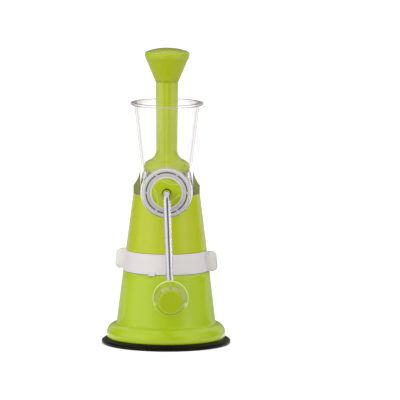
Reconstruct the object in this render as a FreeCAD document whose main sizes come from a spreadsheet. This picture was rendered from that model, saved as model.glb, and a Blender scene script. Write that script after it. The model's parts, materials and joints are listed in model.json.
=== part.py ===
import FreeCAD, Part
import math
import os
import re
import Sketcher

# Manual wheatgrass juicer on a suction foot.
# Millimetres, +Z up, the crank and the viewer on the -Y side.
# The origin is the middle of the rubber pad's underside.

doc = FreeCAD.newDocument("WheatgrassJuicer")
sheet = doc.addObject("Spreadsheet::Sheet", "Sizes")

# Driving dimensions: name, value in millimetres or degrees or a count, what it is.
DRIVING = [
    ("pad_radius", "67.3", "outer radius of the rubber suction pad"),
    ("pad_edge", "4.2", "height of the pad's outer edge"),
    ("pad_height", "6.5", "height of the pad where the base presses on it"),
    ("pad_bevel", "1", "bevel on the pad's outer edges"),
    ("pad_lap", "0.6", "how far the pad's flat top reaches past the base"),
    ("pad_boss_radius", "16", "radius of the pad's middle boss"),
    ("pad_boss_height", "11", "height of the pad's middle boss"),
    ("pad_skin", "2", "rubber left under and over the stud head"),
    ("edge_break", "0.5", "bevel on small outer edges"),
    ("over_cut", "1", "how far a cut starts or ends past the face that it opens"),
    ("end_room", "0.5", "room past the end of a piece in a blind hole"),
    ("base_rim_radius", "61.3", "radius of the base where it meets the pad"),
    ("bulge_radius", "11.4", "roundness of the base's bulged foot"),
    ("bulge_top", "22", "height where the bulged foot meets the cone"),
    ("crease_height", "2.2", "height of that crease"),
    ("crease_step", "0.4", "how far the cone sets in at the crease"),
    ("bulge_lap", "0.2", "how far the bulge ends outside the cone"),
    ("cone_low_radius", "52.1", "cone radius at the top of the foot"),
    ("cone_top_radius", "34.65", "cone radius under the saddle"),
    ("cone_top", "158", "height of the cone's top, the seam with the saddle"),
    ("ring_low", "77.1", "height of the lock ring's lower edge"),
    ("ring_height", "21.3", "height of the lock ring"),
    ("ring_gap", "0.45", "shadow gap above and below the lock ring"),
    ("ring_wall", "1.9", "wall of the lock ring at its thin upper edge"),
    ("sleeve_wall", "3.4", "wall of the cam sleeve"),
    ("turning_gap", "0.25", "radial gap round the turning ring"),
    ("ear_reach", "54.6", "radius of the ring ears' tips"),
    ("ear_thickness", "6", "thickness of a ring ear"),
    ("ear_corner", "5", "corner radius of a ring ear"),
    ("ear_inset", "0.3", "how far an ear stands in from the ring's faces"),
    ("ear_taper", "1", "how much less an ear reaches at its top"),
    ("ear_root", "0.8", "ring wall left inside an ear's root"),
    ("ring_rest_turn", "15", "how far the ring stands turned at rest"),
    ("pointer_width", "7", "width of the ring's pointer"),
    ("pointer_drop", "1.1", "how far the pointer hangs under the ring"),
    ("pointer_root", "2.2", "height of the pointer's root on the ring"),
    ("pointer_proud", "0.8", "thickness of the pointer's tip"),
    ("pointer_relief", "0.3", "gap between the pointer's tip and the cone"),
    ("pointer_sink", "2", "how deep the pointer's root stands in the ring"),
    ("pointer_lap", "1", "height over which the pointer's tip joins its root"),
    ("pointer_aside", "3.4", "how far the pointer stands beside the ring's front"),
    ("lock_turn", "90", "turn of the ring from free to locked"),
    ("cam_slots", "2", "helical slots in the cam sleeve"),
    ("lift_travel", "4", "rise of the stud over that turn"),
    ("cam_pin_radius", "2.5", "radius of the lift bar's end pins"),
    ("cam_pin_inset", "1.1", "how far the end pins stop inside the cam sleeve's skin"),
    ("cam_slack", "0.3", "gap round an end pin in its cam slot"),
    ("bar_width", "8", "width of the lift bar"),
    ("bar_height", "6", "height of the lift bar"),
    ("bar_place", "8", "height of the lift bar's middle over the ring's edge at rest"),
    ("bar_slack", "0.3", "gap beside the lift bar in the neck"),
    ("bar_inset", "2", "how far the lift bar's flat ends stop inside the neck"),
    ("stud_radius", "3", "radius of the pull stud"),
    ("stud_proud", "1", "how far the stud stands out of its nut"),
    ("stud_head_radius", "11", "radius of the stud's moulded-in head"),
    ("stud_head_height", "2.4", "height of the stud's head"),
    ("running_gap", "0.06", "radial gap of a running fit"),
    ("seat_gap", "0.05", "gap of a fixed fit"),
    ("loose_gap", "0.3", "gap round soft and curved neighbours"),
    ("washer_radius", "7", "radius of the stud washer"),
    ("washer_height", "1.2", "thickness of the stud washer"),
    ("washer_room", "1", "room round the stud washer"),
    ("nut_flats", "10", "width over the stud nut's flats"),
    ("nut_height", "5", "height of the stud nut"),
    ("body_screw_count", "2", "screws that hold the upper body"),
    ("body_screw_circle", "24", "radius of the circle of body screws"),
    ("body_screw_radius", "2", "radius of a body screw"),
    ("body_screw_head", "3.6", "radius of a body screw's head"),
    ("body_screw_head_height", "2.6", "height of a body screw's head"),
    ("body_screw_grip", "14", "thread length in the upper body"),
    ("body_screw_bite", "10", "base material under the screw head"),
    ("well_gap", "0.4", "room round a body screw's head"),
    ("screw_slack", "0.15", "room round a body screw in the neck"),
    ("screw_flats", "2.8", "width over the flats of a body screw's drive"),
    ("axis_over_seam", "6", "height of the auger's axis over the cone's top"),
    ("cradle_wall", "7.45", "from the cone's top edge in to the housing sleeve"),
    ("sleeve_skin", "2.2", "wall of the clear housing sleeve"),
    ("sleeve_half", "40", "half length of the clear housing"),
    ("barrel_radius", "18.4", "outer radius of the auger barrel"),
    ("barrel_bore", "15.9", "bore radius of the auger barrel"),
    ("end_wall", "3", "thickness of the housing's front wall"),
    ("throat_radius", "14", "radius of the throat over the auger"),
    ("floor_lift", "0.7", "height of the hopper's floor over the barrel's bore"),
    ("floor_wall", "3", "thickness of the hopper's floor"),
    ("hopper_low_radius", "25.9", "outer hopper radius at floor height"),
    ("hopper_top_radius", "34", "outer hopper radius under the lip"),
    ("hopper_wall", "2", "wall of the hopper"),
    ("hopper_height", "72.4", "height of the hopper over its floor"),
    ("lip_radius", "38.2", "radius of the hopper's lip"),
    ("lip_height", "2.2", "thickness of the hopper's lip"),
    ("cradle_gap", "0.3", "gap between the housing and its cradle"),
    ("wing_height", "8", "straight height of the saddle wings"),
    ("wing_tip_wall", "0.1", "wall left at the tips of the wings"),
    ("wing_tip_rise", "24.5", "height of the wing tips over the cone's top"),
    ("wing_curve", "31", "radius of the wings' hollow curve"),
    ("tongue_length", "14", "length of a wing's tongue"),
    ("tongue_width", "2.6", "width of a wing's tongue"),
    ("tongue_depth", "6", "depth of a wing's tongue in the cone"),
    ("collar_inset", "1.5", "how far the front collar sets in from the sleeve"),
    ("collar_depth", "11", "depth of the front collar"),
    ("collar_round", "2.6", "roundness of a collar's outer edge"),
    ("collar_key", "1.5", "height of the ridge that locates the front collar"),
    ("key_half", "1", "half width of that ridge"),
    ("key_inset", "3.7", "from the collar's rim in to the middle of that ridge"),
    ("slot_inset", "4.4", "from the collar's rim in to the middle of the arc slots"),
    ("slot_width", "1", "width of an arc slot"),
    ("slot_depth", "3", "depth of an arc slot"),
    ("slot_span", "54", "angle that an arc slot spans"),
    ("slot_count", "6", "number of arc slots"),
    ("inner_step", "0.8", "step down from the collar's bead to its inner face"),
    ("inner_bevel", "0.6", "width of the slope to that inner face"),
    ("hub_radius", "15.4", "radius of the drive hub"),
    ("hub_proud", "0.6", "how far the hub stands out of the collar"),
    ("hub_length", "20", "length of the drive hub"),
    ("swirl_radius", "26.5", "radius of a swirl cut on the hub's face"),
    ("swirl_reach", "10", "nearest distance of a swirl cut to the axis"),
    ("swirl_depth", "0.9", "depth of a swirl cut"),
    ("swirl_turn", "72.8", "angle of the first swirl cut"),
    ("swirl_count", "3", "number of swirl cuts"),
    ("seal_width", "3", "width of the shaft seal"),
    ("seal_height", "3", "radial height of the shaft seal"),
    ("seal_place", "6", "distance of the seal behind the collar's front"),
    ("rod_radius", "4", "radius of the crank rod"),
    ("rod_bend", "7", "middle radius of the rod's bends"),
    ("rod_grip", "14", "length of rod inside the hub"),
    ("rod_plane", "62", "distance of the crank arm in front of the axis"),
    ("crank_radius", "107.5", "distance from the auger's axis to the knob's"),
    ("crank_lean", "2.4", "lean of the crank arm at rest"),
    ("entry_radius", "4.6", "radius of the dark mouth round the rod"),
    ("entry_depth", "2.5", "depth of that mouth"),
    ("drive_pin_radius", "1.5", "radius of the hub's cross pin"),
    ("drive_pin_place", "13", "distance of the cross pin behind the hub's face"),
    ("pin_inset", "0.6", "how far the cross pin stops inside the hub"),
    ("knob_back_gap", "0.5", "gap between the rod's bend and the knob"),
    ("knob_back_radius", "18.7", "radius of the knob's back rim"),
    ("knob_rim", "1.6", "thickness of the knob's back rim"),
    ("knob_front_radius", "12.6", "radius of the knob's front face"),
    ("knob_length", "31", "length of the knob"),
    ("knob_round", "2.5", "roundness of the knob's front edge"),
    ("knob_hollow", "62", "radius of the knob's hollow flank"),
    ("clip_radius", "7.5", "radius of the clip washer on the rod"),
    ("clip_height", "1.2", "thickness of the clip washer"),
    ("knob_nose", "7", "length of the rod's end past the knob's bearing"),
    ("nose_room", "9.5", "radius of the room for the clip washer"),
    ("cap_height", "3.2", "thickness of the knob's cap"),
    ("cap_spigot", "1.5", "length of the cap's spigot in the knob"),
    ("shaft_flats", "9", "width over the auger shaft's flats"),
    ("shaft_grip", "4", "length of the shaft inside the hub"),
    ("shaft_length", "92", "length of the auger shaft"),
    ("auger_core", "8.6", "radius of the auger's core"),
    ("auger_radius", "15.3", "radius of the auger's flight"),
    ("auger_pitch", "17", "pitch of the auger's flight"),
    ("auger_turns", "4", "turns of the auger's flight"),
    ("flight_root", "4.4", "thickness of the flight at the core"),
    ("flight_edge", "1.8", "thickness of the flight at its edge"),
    ("flight_sink", "0.5", "how deep the flight's root stands in the core"),
    ("auger_play", "0.4", "end play between the hub and the auger"),
    ("tip_radius", "5.6", "radius of the auger's tip"),
    ("auger_tip_gap", "3", "from the auger's tip to the strainer's end"),
    ("strainer_length", "40", "length of the conical strainer"),
    ("strainer_wall", "0.8", "wall of the strainer"),
    ("strainer_end_radius", "9", "inner radius of the strainer's small end"),
    ("strainer_flange", "21", "radius of the strainer's flange"),
    ("strainer_flange_height", "1.2", "thickness of the strainer's flange"),
    ("drain_slot_width", "1.3", "width of a drain slot"),
    ("drain_slot_count", "12", "number of drain slots"),
    ("drain_slot_margin", "6", "solid length at each end of the drain slots"),
    ("cover_flange", "22.8", "radius of the juice cover's flange"),
    ("cover_flange_height", "2.6", "thickness of the juice cover's flange"),
    ("cover_space", "2.2", "space for juice between strainer and cover"),
    ("cover_wall", "2", "wall of the juice cover"),
    ("spout_place", "17", "distance of the spout behind the cover's flange"),
    ("spout_radius", "7.2", "outer radius of the spout"),
    ("spout_bore", "5.2", "bore radius of the spout"),
    ("spout_drop", "44", "drop of the spout's mouth below the axis"),
    ("collar_lip", "3", "thickness of the rear collar's lip"),
    ("rear_wall", "2.6", "wall of the rear collar over the cover's flange"),
    ("bayonet_length", "6", "length of the housing's bayonet spigot"),
    ("bayonet_radius", "21.5", "radius of the housing's bayonet spigot"),
    ("grip_count", "12", "number of grip flutes on the rear collar"),
    ("grip_radius", "2", "radius of a grip flute"),
    ("grip_out", "1.2", "how far a flute's middle stands outside the rear collar"),
    ("nozzle_length", "15", "length of the pulp nozzle past the cover"),
    ("nozzle_wall", "1.8", "wall of the pulp nozzle"),
    ("nozzle_socket", "4", "length of the nozzle's socket round the strainer"),
    ("nozzle_mouth", "7.6", "bore radius of the nozzle's mouth"),
    ("gasket_length", "2.2", "length of the cover seal"),
    ("gasket_height", "2.2", "radial height of the cover seal"),
    ("gland_length", "3.85", "length of the rear collar's room for that seal"),
    ("foot_clearance", "0.4", "gap between the pusher's foot and the hopper's wall"),
    ("foot_height", "4.5", "straight height of the pusher's foot"),
    ("foot_gap", "0.5", "gap between the pusher and the hopper's floor at rest"),
    ("bell_height", "17.3", "height of the bell above the foot"),
    ("bell_round", "9", "roundness of the bell's shoulder"),
    ("bell_hollow", "12", "roundness of the bell's hollow neck"),
    ("bell_waist_radius", "17.5", "bell radius where round turns to hollow"),
    ("bell_waist_height", "7.2", "height of that place over the foot"),
    ("stem_low_radius", "10.95", "stem radius above the bell"),
    ("stem_top_radius", "11.6", "stem radius under the cap"),
    ("stem_rise", "22", "height of the stem's top, the seam with the cap, over the hopper"),
    ("cap_plug_radius", "7", "radius of the plug that joins cap and stem"),
    ("cap_plug_length", "14", "length of that plug"),
    ("pusher_cap_radius", "23.4", "largest radius of the pusher's cap"),
    ("pusher_cap_low", "12", "radius of the cap at the seam"),
    ("pusher_flank_radius", "21.3", "cap radius where the flank starts to round"),
    ("pusher_flank_height", "22", "height of that place over the seam"),
    ("pusher_flank_round", "14", "roundness of the flank's upper end"),
    ("pusher_shoulder", "27.9", "height of the cap's widest ring over the seam"),
    ("pusher_edge", "3.4", "roundness of the cap's upper edge"),
    ("pusher_edge_width", "2.4", "width of that rounding"),
    ("pusher_edge_height", "3.6", "height of that rounding"),
    ("pusher_crown", "35", "height of the cap's crown over the seam"),
]

# Sizes that follow from the driving ones.
FOLLOWING = [
    ("through_cut", "=3 * pad_radius"),
    ("axis_height", "=cone_top + axis_over_seam"),
    ("cone_slope", "=(cone_low_radius - cone_top_radius) / (cone_top - bulge_top)"),
    ("ring_top", "=ring_low + ring_height"),
    ("ring_low_radius", "=cone_low_radius - cone_slope * (ring_low - bulge_top)"),
    ("ring_top_radius", "=cone_low_radius - cone_slope * (ring_top - bulge_top)"),
    ("sleeve_outer", "=ring_top_radius - ring_wall"),
    ("sleeve_inner", "=sleeve_outer - sleeve_wall"),
    ("neck_radius", "=sleeve_inner - turning_gap"),
    ("cam_pin_reach", "=sleeve_outer - cam_pin_inset"),
    ("shoulder_height", "=ring_low - ring_gap"),
    ("neck_top", "=ring_top + ring_gap"),
    ("shoulder_radius", "=cone_low_radius - cone_slope * (shoulder_height - bulge_top)"),
    ("pointer_front", "=shoulder_radius + pointer_relief + pointer_proud"),
    ("body_low_radius", "=cone_low_radius - cone_slope * (neck_top - bulge_top)"),
    ("bar_middle", "=ring_low + bar_place"),
    ("bar_low", "=bar_middle - bar_height / 2"),
    ("bar_top", "=bar_middle + bar_height / 2"),
    ("stud_head_low", "=pad_skin"),
    ("stud_top", "=bar_top + washer_height + nut_height + stud_proud"),
    ("rise_per_turn", "=lift_travel * 360 / lock_turn"),
    ("cam_margin", "=(cam_pin_radius + cam_slack) / sleeve_inner * 180 / pi"),
    ("cam_rise", "=rise_per_turn * (lock_turn + 2 * cam_margin) / 360"),
    ("cam_start", "=bar_middle - rise_per_turn * cam_margin / 360"),
    ("sleeve_radius", "=cone_top_radius - cradle_wall"),
    ("cradle_radius", "=sleeve_radius + cradle_gap"),
    ("wing_tip_radius", "=cradle_radius + wing_tip_wall"),
    ("wing_tip_height", "=cone_top + wing_tip_rise"),
    ("tongue_across", "=(cradle_radius + cone_top_radius) / 2"),
    ("floor_height", "=axis_height + barrel_bore + floor_lift"),
    ("hopper_top", "=floor_height + hopper_height"),
    ("hopper_slope", "=(hopper_top_radius - hopper_low_radius) / (hopper_top - lip_height - floor_height)"),
    ("hopper_mouth_radius", "=hopper_top_radius - hopper_wall + hopper_slope * lip_height"),
    ("funnel_low", "=floor_height - floor_wall"),
    ("funnel_low_radius", "=hopper_low_radius - hopper_slope * floor_wall"),
    ("collar_radius", "=sleeve_radius - collar_inset"),
    ("collar_key_radius", "=collar_radius - key_inset"),
    ("slot_radius", "=collar_radius - slot_inset"),
    ("collar_front", "=sleeve_half + collar_depth"),
    ("seal_middle", "=collar_front - seal_place"),
    ("hub_front", "=collar_front + hub_proud"),
    ("hub_back", "=hub_front - hub_length"),
    ("knob_back", "=rod_plane + rod_bend + knob_back_gap"),
    ("knob_front", "=knob_back + knob_length"),
    ("cap_seam", "=knob_front - cap_height"),
    ("rod_end", "=cap_seam - cap_spigot - end_room"),
    ("knob_bearing", "=rod_end - knob_nose"),
    ("auger_front", "=hub_back - auger_play"),
    ("shaft_front", "=hub_back + shaft_grip"),
    ("shaft_end", "=shaft_length - shaft_front"),
    ("strainer_start", "=sleeve_half + bayonet_length + seat_gap"),
    ("strainer_end", "=strainer_start + strainer_length"),
    ("cover_start", "=strainer_start + strainer_flange_height + seat_gap"),
    ("cover_low_radius", "=barrel_bore + strainer_wall + cover_space"),
    ("cover_end", "=strainer_end - nozzle_socket"),
    ("strainer_slope", "=(barrel_bore - strainer_end_radius) / strainer_length"),
    ("socket_radius", "=strainer_end_radius + strainer_wall + strainer_slope * nozzle_socket"),
    ("cover_end_radius", "=socket_radius + strainer_slope * cover_wall + loose_gap"),
    ("rear_collar_radius", "=cover_flange + loose_gap + rear_wall"),
    ("rear_collar_opening", "=cover_low_radius + cover_wall + loose_gap"),
    ("auger_end", "=strainer_end - auger_tip_gap"),
    ("knob_across", "=crank_radius * sin(crank_lean)"),
    ("knob_height", "=axis_height - crank_radius * cos(crank_lean)"),
    ("gasket_start", "=sleeve_half + gland_length - gasket_length - loose_gap"),
    ("gland_radius", "=bayonet_radius + gasket_height + 2 * loose_gap"),
    ("rear_collar_end", "=cover_start + cover_flange_height + collar_lip + seat_gap"),
    ("foot_radius", "=hopper_low_radius - hopper_wall - foot_clearance"),
    ("foot_low", "=floor_height + foot_gap"),
    ("foot_top_radius", "=foot_radius + hopper_slope * foot_height"),
    ("stem_top", "=hopper_top + stem_rise"),
    ("bell_top", "=foot_low + foot_height + bell_height"),
    ("crown_radius", "=pusher_cap_radius - pusher_edge_width"),
    ("crown_height", "=pusher_crown - pusher_shoulder - pusher_edge_height"),
    ("pusher_dome", "=(crown_radius ^ 2 + crown_height ^ 2) / (2 * crown_height)"),
]

row = 1
for alias, number, meaning in DRIVING:
    sheet.set(f"A{row}", meaning)
    sheet.set(f"B{row}", number)
    sheet.setAlias(f"B{row}", alias)
    row += 1
for alias, formula in FOLLOWING:
    sheet.set(f"B{row}", formula)
    sheet.setAlias(f"B{row}", alias)
    row += 1
doc.recompute()

ALIASES = [entry[0] for entry in DRIVING + FOLLOWING]
WORDS = re.compile(r"\b(" + "|".join(sorted(ALIASES, key=len, reverse=True)) + r")\b")


def cell(expression):
    """The expression as objects outside the sheet write it."""
    return WORDS.sub(r"Sizes.\1", expression)


def number(expression):
    """What an expression of sheet sizes comes to."""
    return float(sheet.evalExpression(cell(expression)))


def bind(thing, prop, expression):
    thing.setExpression(prop, cell(expression))


def new_body(name):
    body = doc.addObject("PartDesign::Body", name)
    body.Label = name
    return body


def origin_feature(body, role):
    return next(f for f in body.Origin.OriginFeatures if f.Role == role)


def new_sketch(body, name, plane, lift=None):
    """A sketch on one of the body's origin planes, lifted along the plane's normal."""
    sketch = body.newObject("Sketcher::SketchObject", name)
    sketch.AttachmentSupport = [(origin_feature(body, plane), "")]
    sketch.MapMode = "FlatFace"
    if lift is not None:
        bind(sketch, "AttachmentOffset.Base.z", lift)
    return sketch


def hold_point(sketch, geometry, end, place):
    """Tie a point to the sizes: on an axis where its expression is 0."""
    for axis, kind, expression in ((-2, "DistanceX", place[0]), (-1, "DistanceY", place[1])):
        if expression == "0":
            sketch.addConstraint(Sketcher.Constraint("PointOnObject", geometry, end, axis))
        else:
            held = Sketcher.Constraint(kind, -1, 1, geometry, end, number(expression))
            index = sketch.addConstraint(held)
            bind(sketch, f"Constraints[{index}]", expression)


def outline(sketch, steps, closed=True):
    """An outline or a route. A pair is a corner; a text between two corners is the
    radius of the arc that joins them, with a leading minus where it turns clockwise."""
    corners = [s for s in steps if isinstance(s, tuple)]
    bends = []
    for index, step in enumerate(steps):
        if isinstance(step, tuple):
            after = steps[(index + 1) % len(steps)]
            bends.append(after if isinstance(after, str) else None)
    spots = [FreeCAD.Vector(number(x), number(y), 0) for x, y in corners]
    ends = []
    for index, bend in enumerate(bends if closed else bends[:-1]):
        start = spots[index]
        finish = spots[(index + 1) % len(spots)]
        if bend is None:
            geometry = sketch.addGeometry(Part.LineSegment(start, finish))
            ends.append((geometry, 1, 2))
            continue
        clockwise = bend.startswith("-")
        radius = number(bend.lstrip("-"))
        chord = finish - start
        middle = (start + finish) * 0.5
        side = FreeCAD.Vector(-chord.y, chord.x, 0).normalize()
        offset = math.sqrt(max(radius ** 2 - chord.Length ** 2 / 4, 0))
        centre = middle - side * offset if clockwise else middle + side * offset
        first, last = (finish, start) if clockwise else (start, finish)
        low = math.atan2(first.y - centre.y, first.x - centre.x)
        high = math.atan2(last.y - centre.y, last.x - centre.x)
        if high < low:
            high += 2 * math.pi
        circle = Part.Circle(centre, FreeCAD.Vector(0, 0, 1), radius)
        geometry = sketch.addGeometry(Part.ArcOfCircle(circle, low, high))
        ends.append((geometry, 2, 1) if clockwise else (geometry, 1, 2))
        held = sketch.addConstraint(Sketcher.Constraint("Radius", geometry, radius))
        bind(sketch, f"Constraints[{held}]", bend.lstrip("-"))
    for index, (geometry, start, finish) in enumerate(ends if closed else ends[:-1]):
        after, after_start, _ = ends[(index + 1) % len(ends)]
        sketch.addConstraint(Sketcher.Constraint("Coincident", geometry, finish, after, after_start))
    if not closed:
        hold_point(sketch, ends[-1][0], ends[-1][2], corners[-1])
    for (geometry, start, finish), corner in zip(ends, corners):
        hold_point(sketch, geometry, start, corner)
    return sketch


def circle(sketch, radius, place=("0", "0")):
    spot = FreeCAD.Vector(number(place[0]), number(place[1]), 0)
    shape = Part.Circle(spot, FreeCAD.Vector(0, 0, 1), number(radius))
    geometry = sketch.addGeometry(shape)
    index = sketch.addConstraint(Sketcher.Constraint("Radius", geometry, number(radius)))
    bind(sketch, f"Constraints[{index}]", radius)
    if place == ("0", "0"):
        sketch.addConstraint(Sketcher.Constraint("Coincident", geometry, 3, -1, 1))
    else:
        hold_point(sketch, geometry, 3, place)
    return sketch


def rectangle(sketch, left, low, right, high):
    return outline(sketch, [(left, low), (right, low), (right, high), (left, high)])


def hexagon(sketch, flats, place=None):
    """A hexagon with the given width over its flats, round the sketch's origin or a place."""
    corner = f"({flats}) / 2 / cos(30)"
    inset = f"({flats}) / 2 * tan(30)"
    half = f"({flats}) / 2"
    corners = [
        (corner, "0"), (inset, half), (f"-{inset}", half),
        (f"-{corner}", "0"), (f"-{inset}", f"-{half}"), (inset, f"-{half}"),
    ]
    if place:
        corners = [(f"{place[0]} + {x}", f"{place[1]} + {y}") for x, y in corners]
    return outline(sketch, corners)


def volume_of(body):
    return body.Shape.Volume if body.Tip is not None and not body.Shape.isNull() else 0.0


def checked(body, feature, grows):
    """Recompute, and stop where a feature has not changed the solid as it should."""
    before = volume_of(body)
    feature.Visibility = True
    body.Tip = feature
    doc.recompute()
    after = volume_of(body)
    if (after > before + 1e-3) != grows:
        raise ValueError(f"{body.Name}.{feature.Name} goes the wrong way: {before} to {after}")
    return feature


def pad(body, sketch, length, middle=False, back=False):
    feature = body.newObject("PartDesign::Pad", sketch.Name + "Pad")
    feature.Profile = sketch
    bind(feature, "Length", length)
    feature.SideType = "Symmetric" if middle else "One side"
    feature.Reversed = back
    return checked(body, feature, True)


def pocket(body, sketch, depth, middle=False, back=False):
    feature = body.newObject("PartDesign::Pocket", sketch.Name + "Pocket")
    feature.Profile = sketch
    bind(feature, "Length", depth)
    feature.SideType = "Symmetric" if middle else "One side"
    feature.Reversed = back
    return checked(body, feature, False)


def turned(body, sketch, axis, cut=False):
    """A full turn of the sketch about its own V_Axis or H_Axis."""
    kind = "PartDesign::Groove" if cut else "PartDesign::Revolution"
    feature = body.newObject(kind, sketch.Name + ("Groove" if cut else "Turn"))
    feature.Profile = sketch
    feature.ReferenceAxis = (sketch, [axis])
    feature.Angle = 360
    return checked(body, feature, not cut)


def round_pattern(body, feature, axis_role, count, grows):
    pattern = body.newObject("PartDesign::PolarPattern", feature.Name + "Pattern")
    pattern.Originals = [feature]
    pattern.Axis = (origin_feature(body, axis_role), [""])
    pattern.Angle = 360
    bind(pattern, "Occurrences", count)
    return checked(body, pattern, grows)


def mirrored(body, feature, plane_role, grows):
    mirror = body.newObject("PartDesign::Mirrored", feature.Name + "Mirror")
    mirror.Originals = [feature]
    mirror.MirrorPlane = (origin_feature(body, plane_role), [""])
    return checked(body, mirror, grows)


def on_auger_axis(body):
    """Pieces of the auger line are drawn about Y and then raised to the axis."""
    bind(body, "Placement.Base.z", "axis_height")
    return body


def on_crank(body):
    """Pieces that turn with the crank also take the lean of its arm at rest."""
    about_y = FreeCAD.Rotation(FreeCAD.Vector(0, 1, 0), 1)
    body.Placement = FreeCAD.Placement(FreeCAD.Vector(0, 0, 0), about_y)
    bind(body, "Placement.Rotation.Angle", "-crank_lean")
    return on_auger_axis(body)


def on_knob_axis(body):
    """Pieces round the crank's outer leg are drawn about Y and moved to the knob."""
    bind(body, "Placement.Base.x", "knob_across")
    bind(body, "Placement.Base.z", "knob_height")
    return body


def repeated(body, count):
    """Repeat the whole piece round Z, as separate solids of one node."""
    body.AllowCompound = True
    pattern = body.newObject("PartDesign::PolarPattern", body.Name + "Set")
    pattern.TransformMode = "Whole shape"
    pattern.Axis = (origin_feature(body, "Z_Axis"), [""])
    pattern.Angle = 360
    bind(pattern, "Occurrences", count)
    return checked(body, pattern, True)


parts = []


def finished(body):
    parts.append(body)
    return body


# Suction pad: a flat rubber disc with a bevelled edge and a middle boss that is
# moulded round the head of the pull stud, with room for the head to rise.
pad_body = new_body("suction_pad")
outline(new_sketch(pad_body, "PadSection", "XZ_Plane"), [
    ("0", "0"),
    ("pad_radius - pad_bevel", "0"),
    ("pad_radius", "pad_bevel"),
    ("pad_radius", "pad_edge - pad_bevel"),
    ("pad_radius - pad_bevel", "pad_edge"),
    ("base_rim_radius + pad_lap", "pad_height"),
    ("pad_boss_radius", "pad_height"),
    ("pad_boss_radius", "pad_boss_height"),
    ("0", "pad_boss_height"),
])
turned(pad_body, doc.PadSection, "V_Axis")
outline(new_sketch(pad_body, "PadHollow", "XZ_Plane"), [
    ("0", "stud_head_low"),
    ("stud_head_radius + loose_gap", "stud_head_low"),
    ("stud_head_radius + loose_gap", "pad_boss_height - pad_skin"),
    ("stud_radius + loose_gap", "pad_boss_height - pad_skin"),
    ("stud_radius + loose_gap", "pad_boss_height + over_cut"),
    ("0", "pad_boss_height + over_cut"),
])
turned(pad_body, doc.PadHollow, "V_Axis", cut=True)
finished(pad_body)

# Pull stud: a steel rod with a wide flat head, which lifts the pad's middle.
stud = new_body("pull_stud")
outline(new_sketch(stud, "StudSection", "XZ_Plane"), [
    ("0", "stud_head_low"),
    ("stud_head_radius", "stud_head_low"),
    ("stud_head_radius", "stud_head_low + stud_head_height"),
    ("stud_radius", "stud_head_low + stud_head_height"),
    ("stud_radius", "stud_top - edge_break"),
    ("stud_radius - edge_break", "stud_top"),
    ("0", "stud_top"),
])
turned(stud, doc.StudSection, "V_Axis")
finished(stud)

# Lift bar: a flat steel bar across the neck, hung on the stud, with a round pin
# at each end that rides in the cam sleeve.
bar = new_body("lift_bar")
rectangle(
    new_sketch(bar, "BarPlan", "XY_Plane", "bar_low"),
    "-bar_width / 2", "-(neck_radius - bar_inset)", "bar_width / 2", "neck_radius - bar_inset",
)
pad(bar, doc.BarPlan, "bar_height")
circle(new_sketch(bar, "BarPins", "XZ_Plane"), "cam_pin_radius", ("0", "bar_middle"))
pad(bar, doc.BarPins, "2 * cam_pin_reach", middle=True)
circle(new_sketch(bar, "BarBore", "XY_Plane", "bar_top"), "stud_radius + seat_gap")
pocket(bar, doc.BarBore, "bar_height")
finished(bar)

stud_washer = new_body("stud_washer")
circle(new_sketch(stud_washer, "WasherRound", "XY_Plane", "bar_top"), "washer_radius")
circle(doc.WasherRound, "stud_radius + seat_gap")
pad(stud_washer, doc.WasherRound, "washer_height")
finished(stud_washer)

stud_nut = new_body("stud_nut")
hexagon(new_sketch(stud_nut, "NutFlats", "XY_Plane", "bar_top + washer_height"), "nut_flats")
circle(doc.NutFlats, "stud_radius + seat_gap")
pad(stud_nut, doc.NutFlats, "nut_height")
finished(stud_nut)

# Base: the bulged foot, the lower cone and the neck that carries the lock ring.
base = new_body("base")
outline(new_sketch(base, "BaseSection", "XZ_Plane"), [
    ("0", "pad_height"),
    ("base_rim_radius", "pad_height"),
    "bulge_radius", ("cone_low_radius + bulge_lap", "bulge_top"),
    ("cone_low_radius - crease_height * cone_slope - crease_step", "bulge_top + crease_height"),
    ("shoulder_radius", "shoulder_height"),
    ("neck_radius", "shoulder_height"),
    ("neck_radius", "neck_top"),
    ("0", "neck_top"),
])
turned(base, doc.BaseSection, "V_Axis")
circle(new_sketch(base, "BossRoom", "XY_Plane", "pad_height"), "pad_boss_radius + loose_gap")
pocket(base, doc.BossRoom, "pad_boss_height - pad_height + lift_travel", back=True)
circle(new_sketch(base, "StudBore", "XY_Plane", "pad_height"), "stud_radius + running_gap")
pocket(base, doc.StudBore, "neck_top - pad_height", back=True)
rectangle(
    new_sketch(base, "BarSlot", "XY_Plane", "neck_top"),
    "-(bar_width / 2 + bar_slack)", "-(neck_radius + over_cut)",
    "bar_width / 2 + bar_slack", "neck_radius + over_cut",
)
pocket(base, doc.BarSlot, "neck_top - bar_low")
circle(new_sketch(base, "NutRoom", "XY_Plane", "neck_top"), "washer_radius + washer_room")
pocket(base, doc.NutRoom, "neck_top - bar_top + loose_gap")
well = ("body_screw_circle * cos(45)", "body_screw_circle * sin(45)")
circle(new_sketch(base, "ScrewWell", "XY_Plane", "pad_height"), "body_screw_head + well_gap", well)
pocket(base, doc.ScrewWell, "neck_top - body_screw_bite - pad_height", back=True)
round_pattern(base, doc.ScrewWellPocket, "Z_Axis", "body_screw_count", False)
circle(new_sketch(base, "ScrewWay", "XY_Plane", "neck_top"), "body_screw_radius + screw_slack", well)
pocket(base, doc.ScrewWay, "body_screw_bite + over_cut")
round_pattern(base, doc.ScrewWayPocket, "Z_Axis", "body_screw_count", False)
finished(base)

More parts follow.
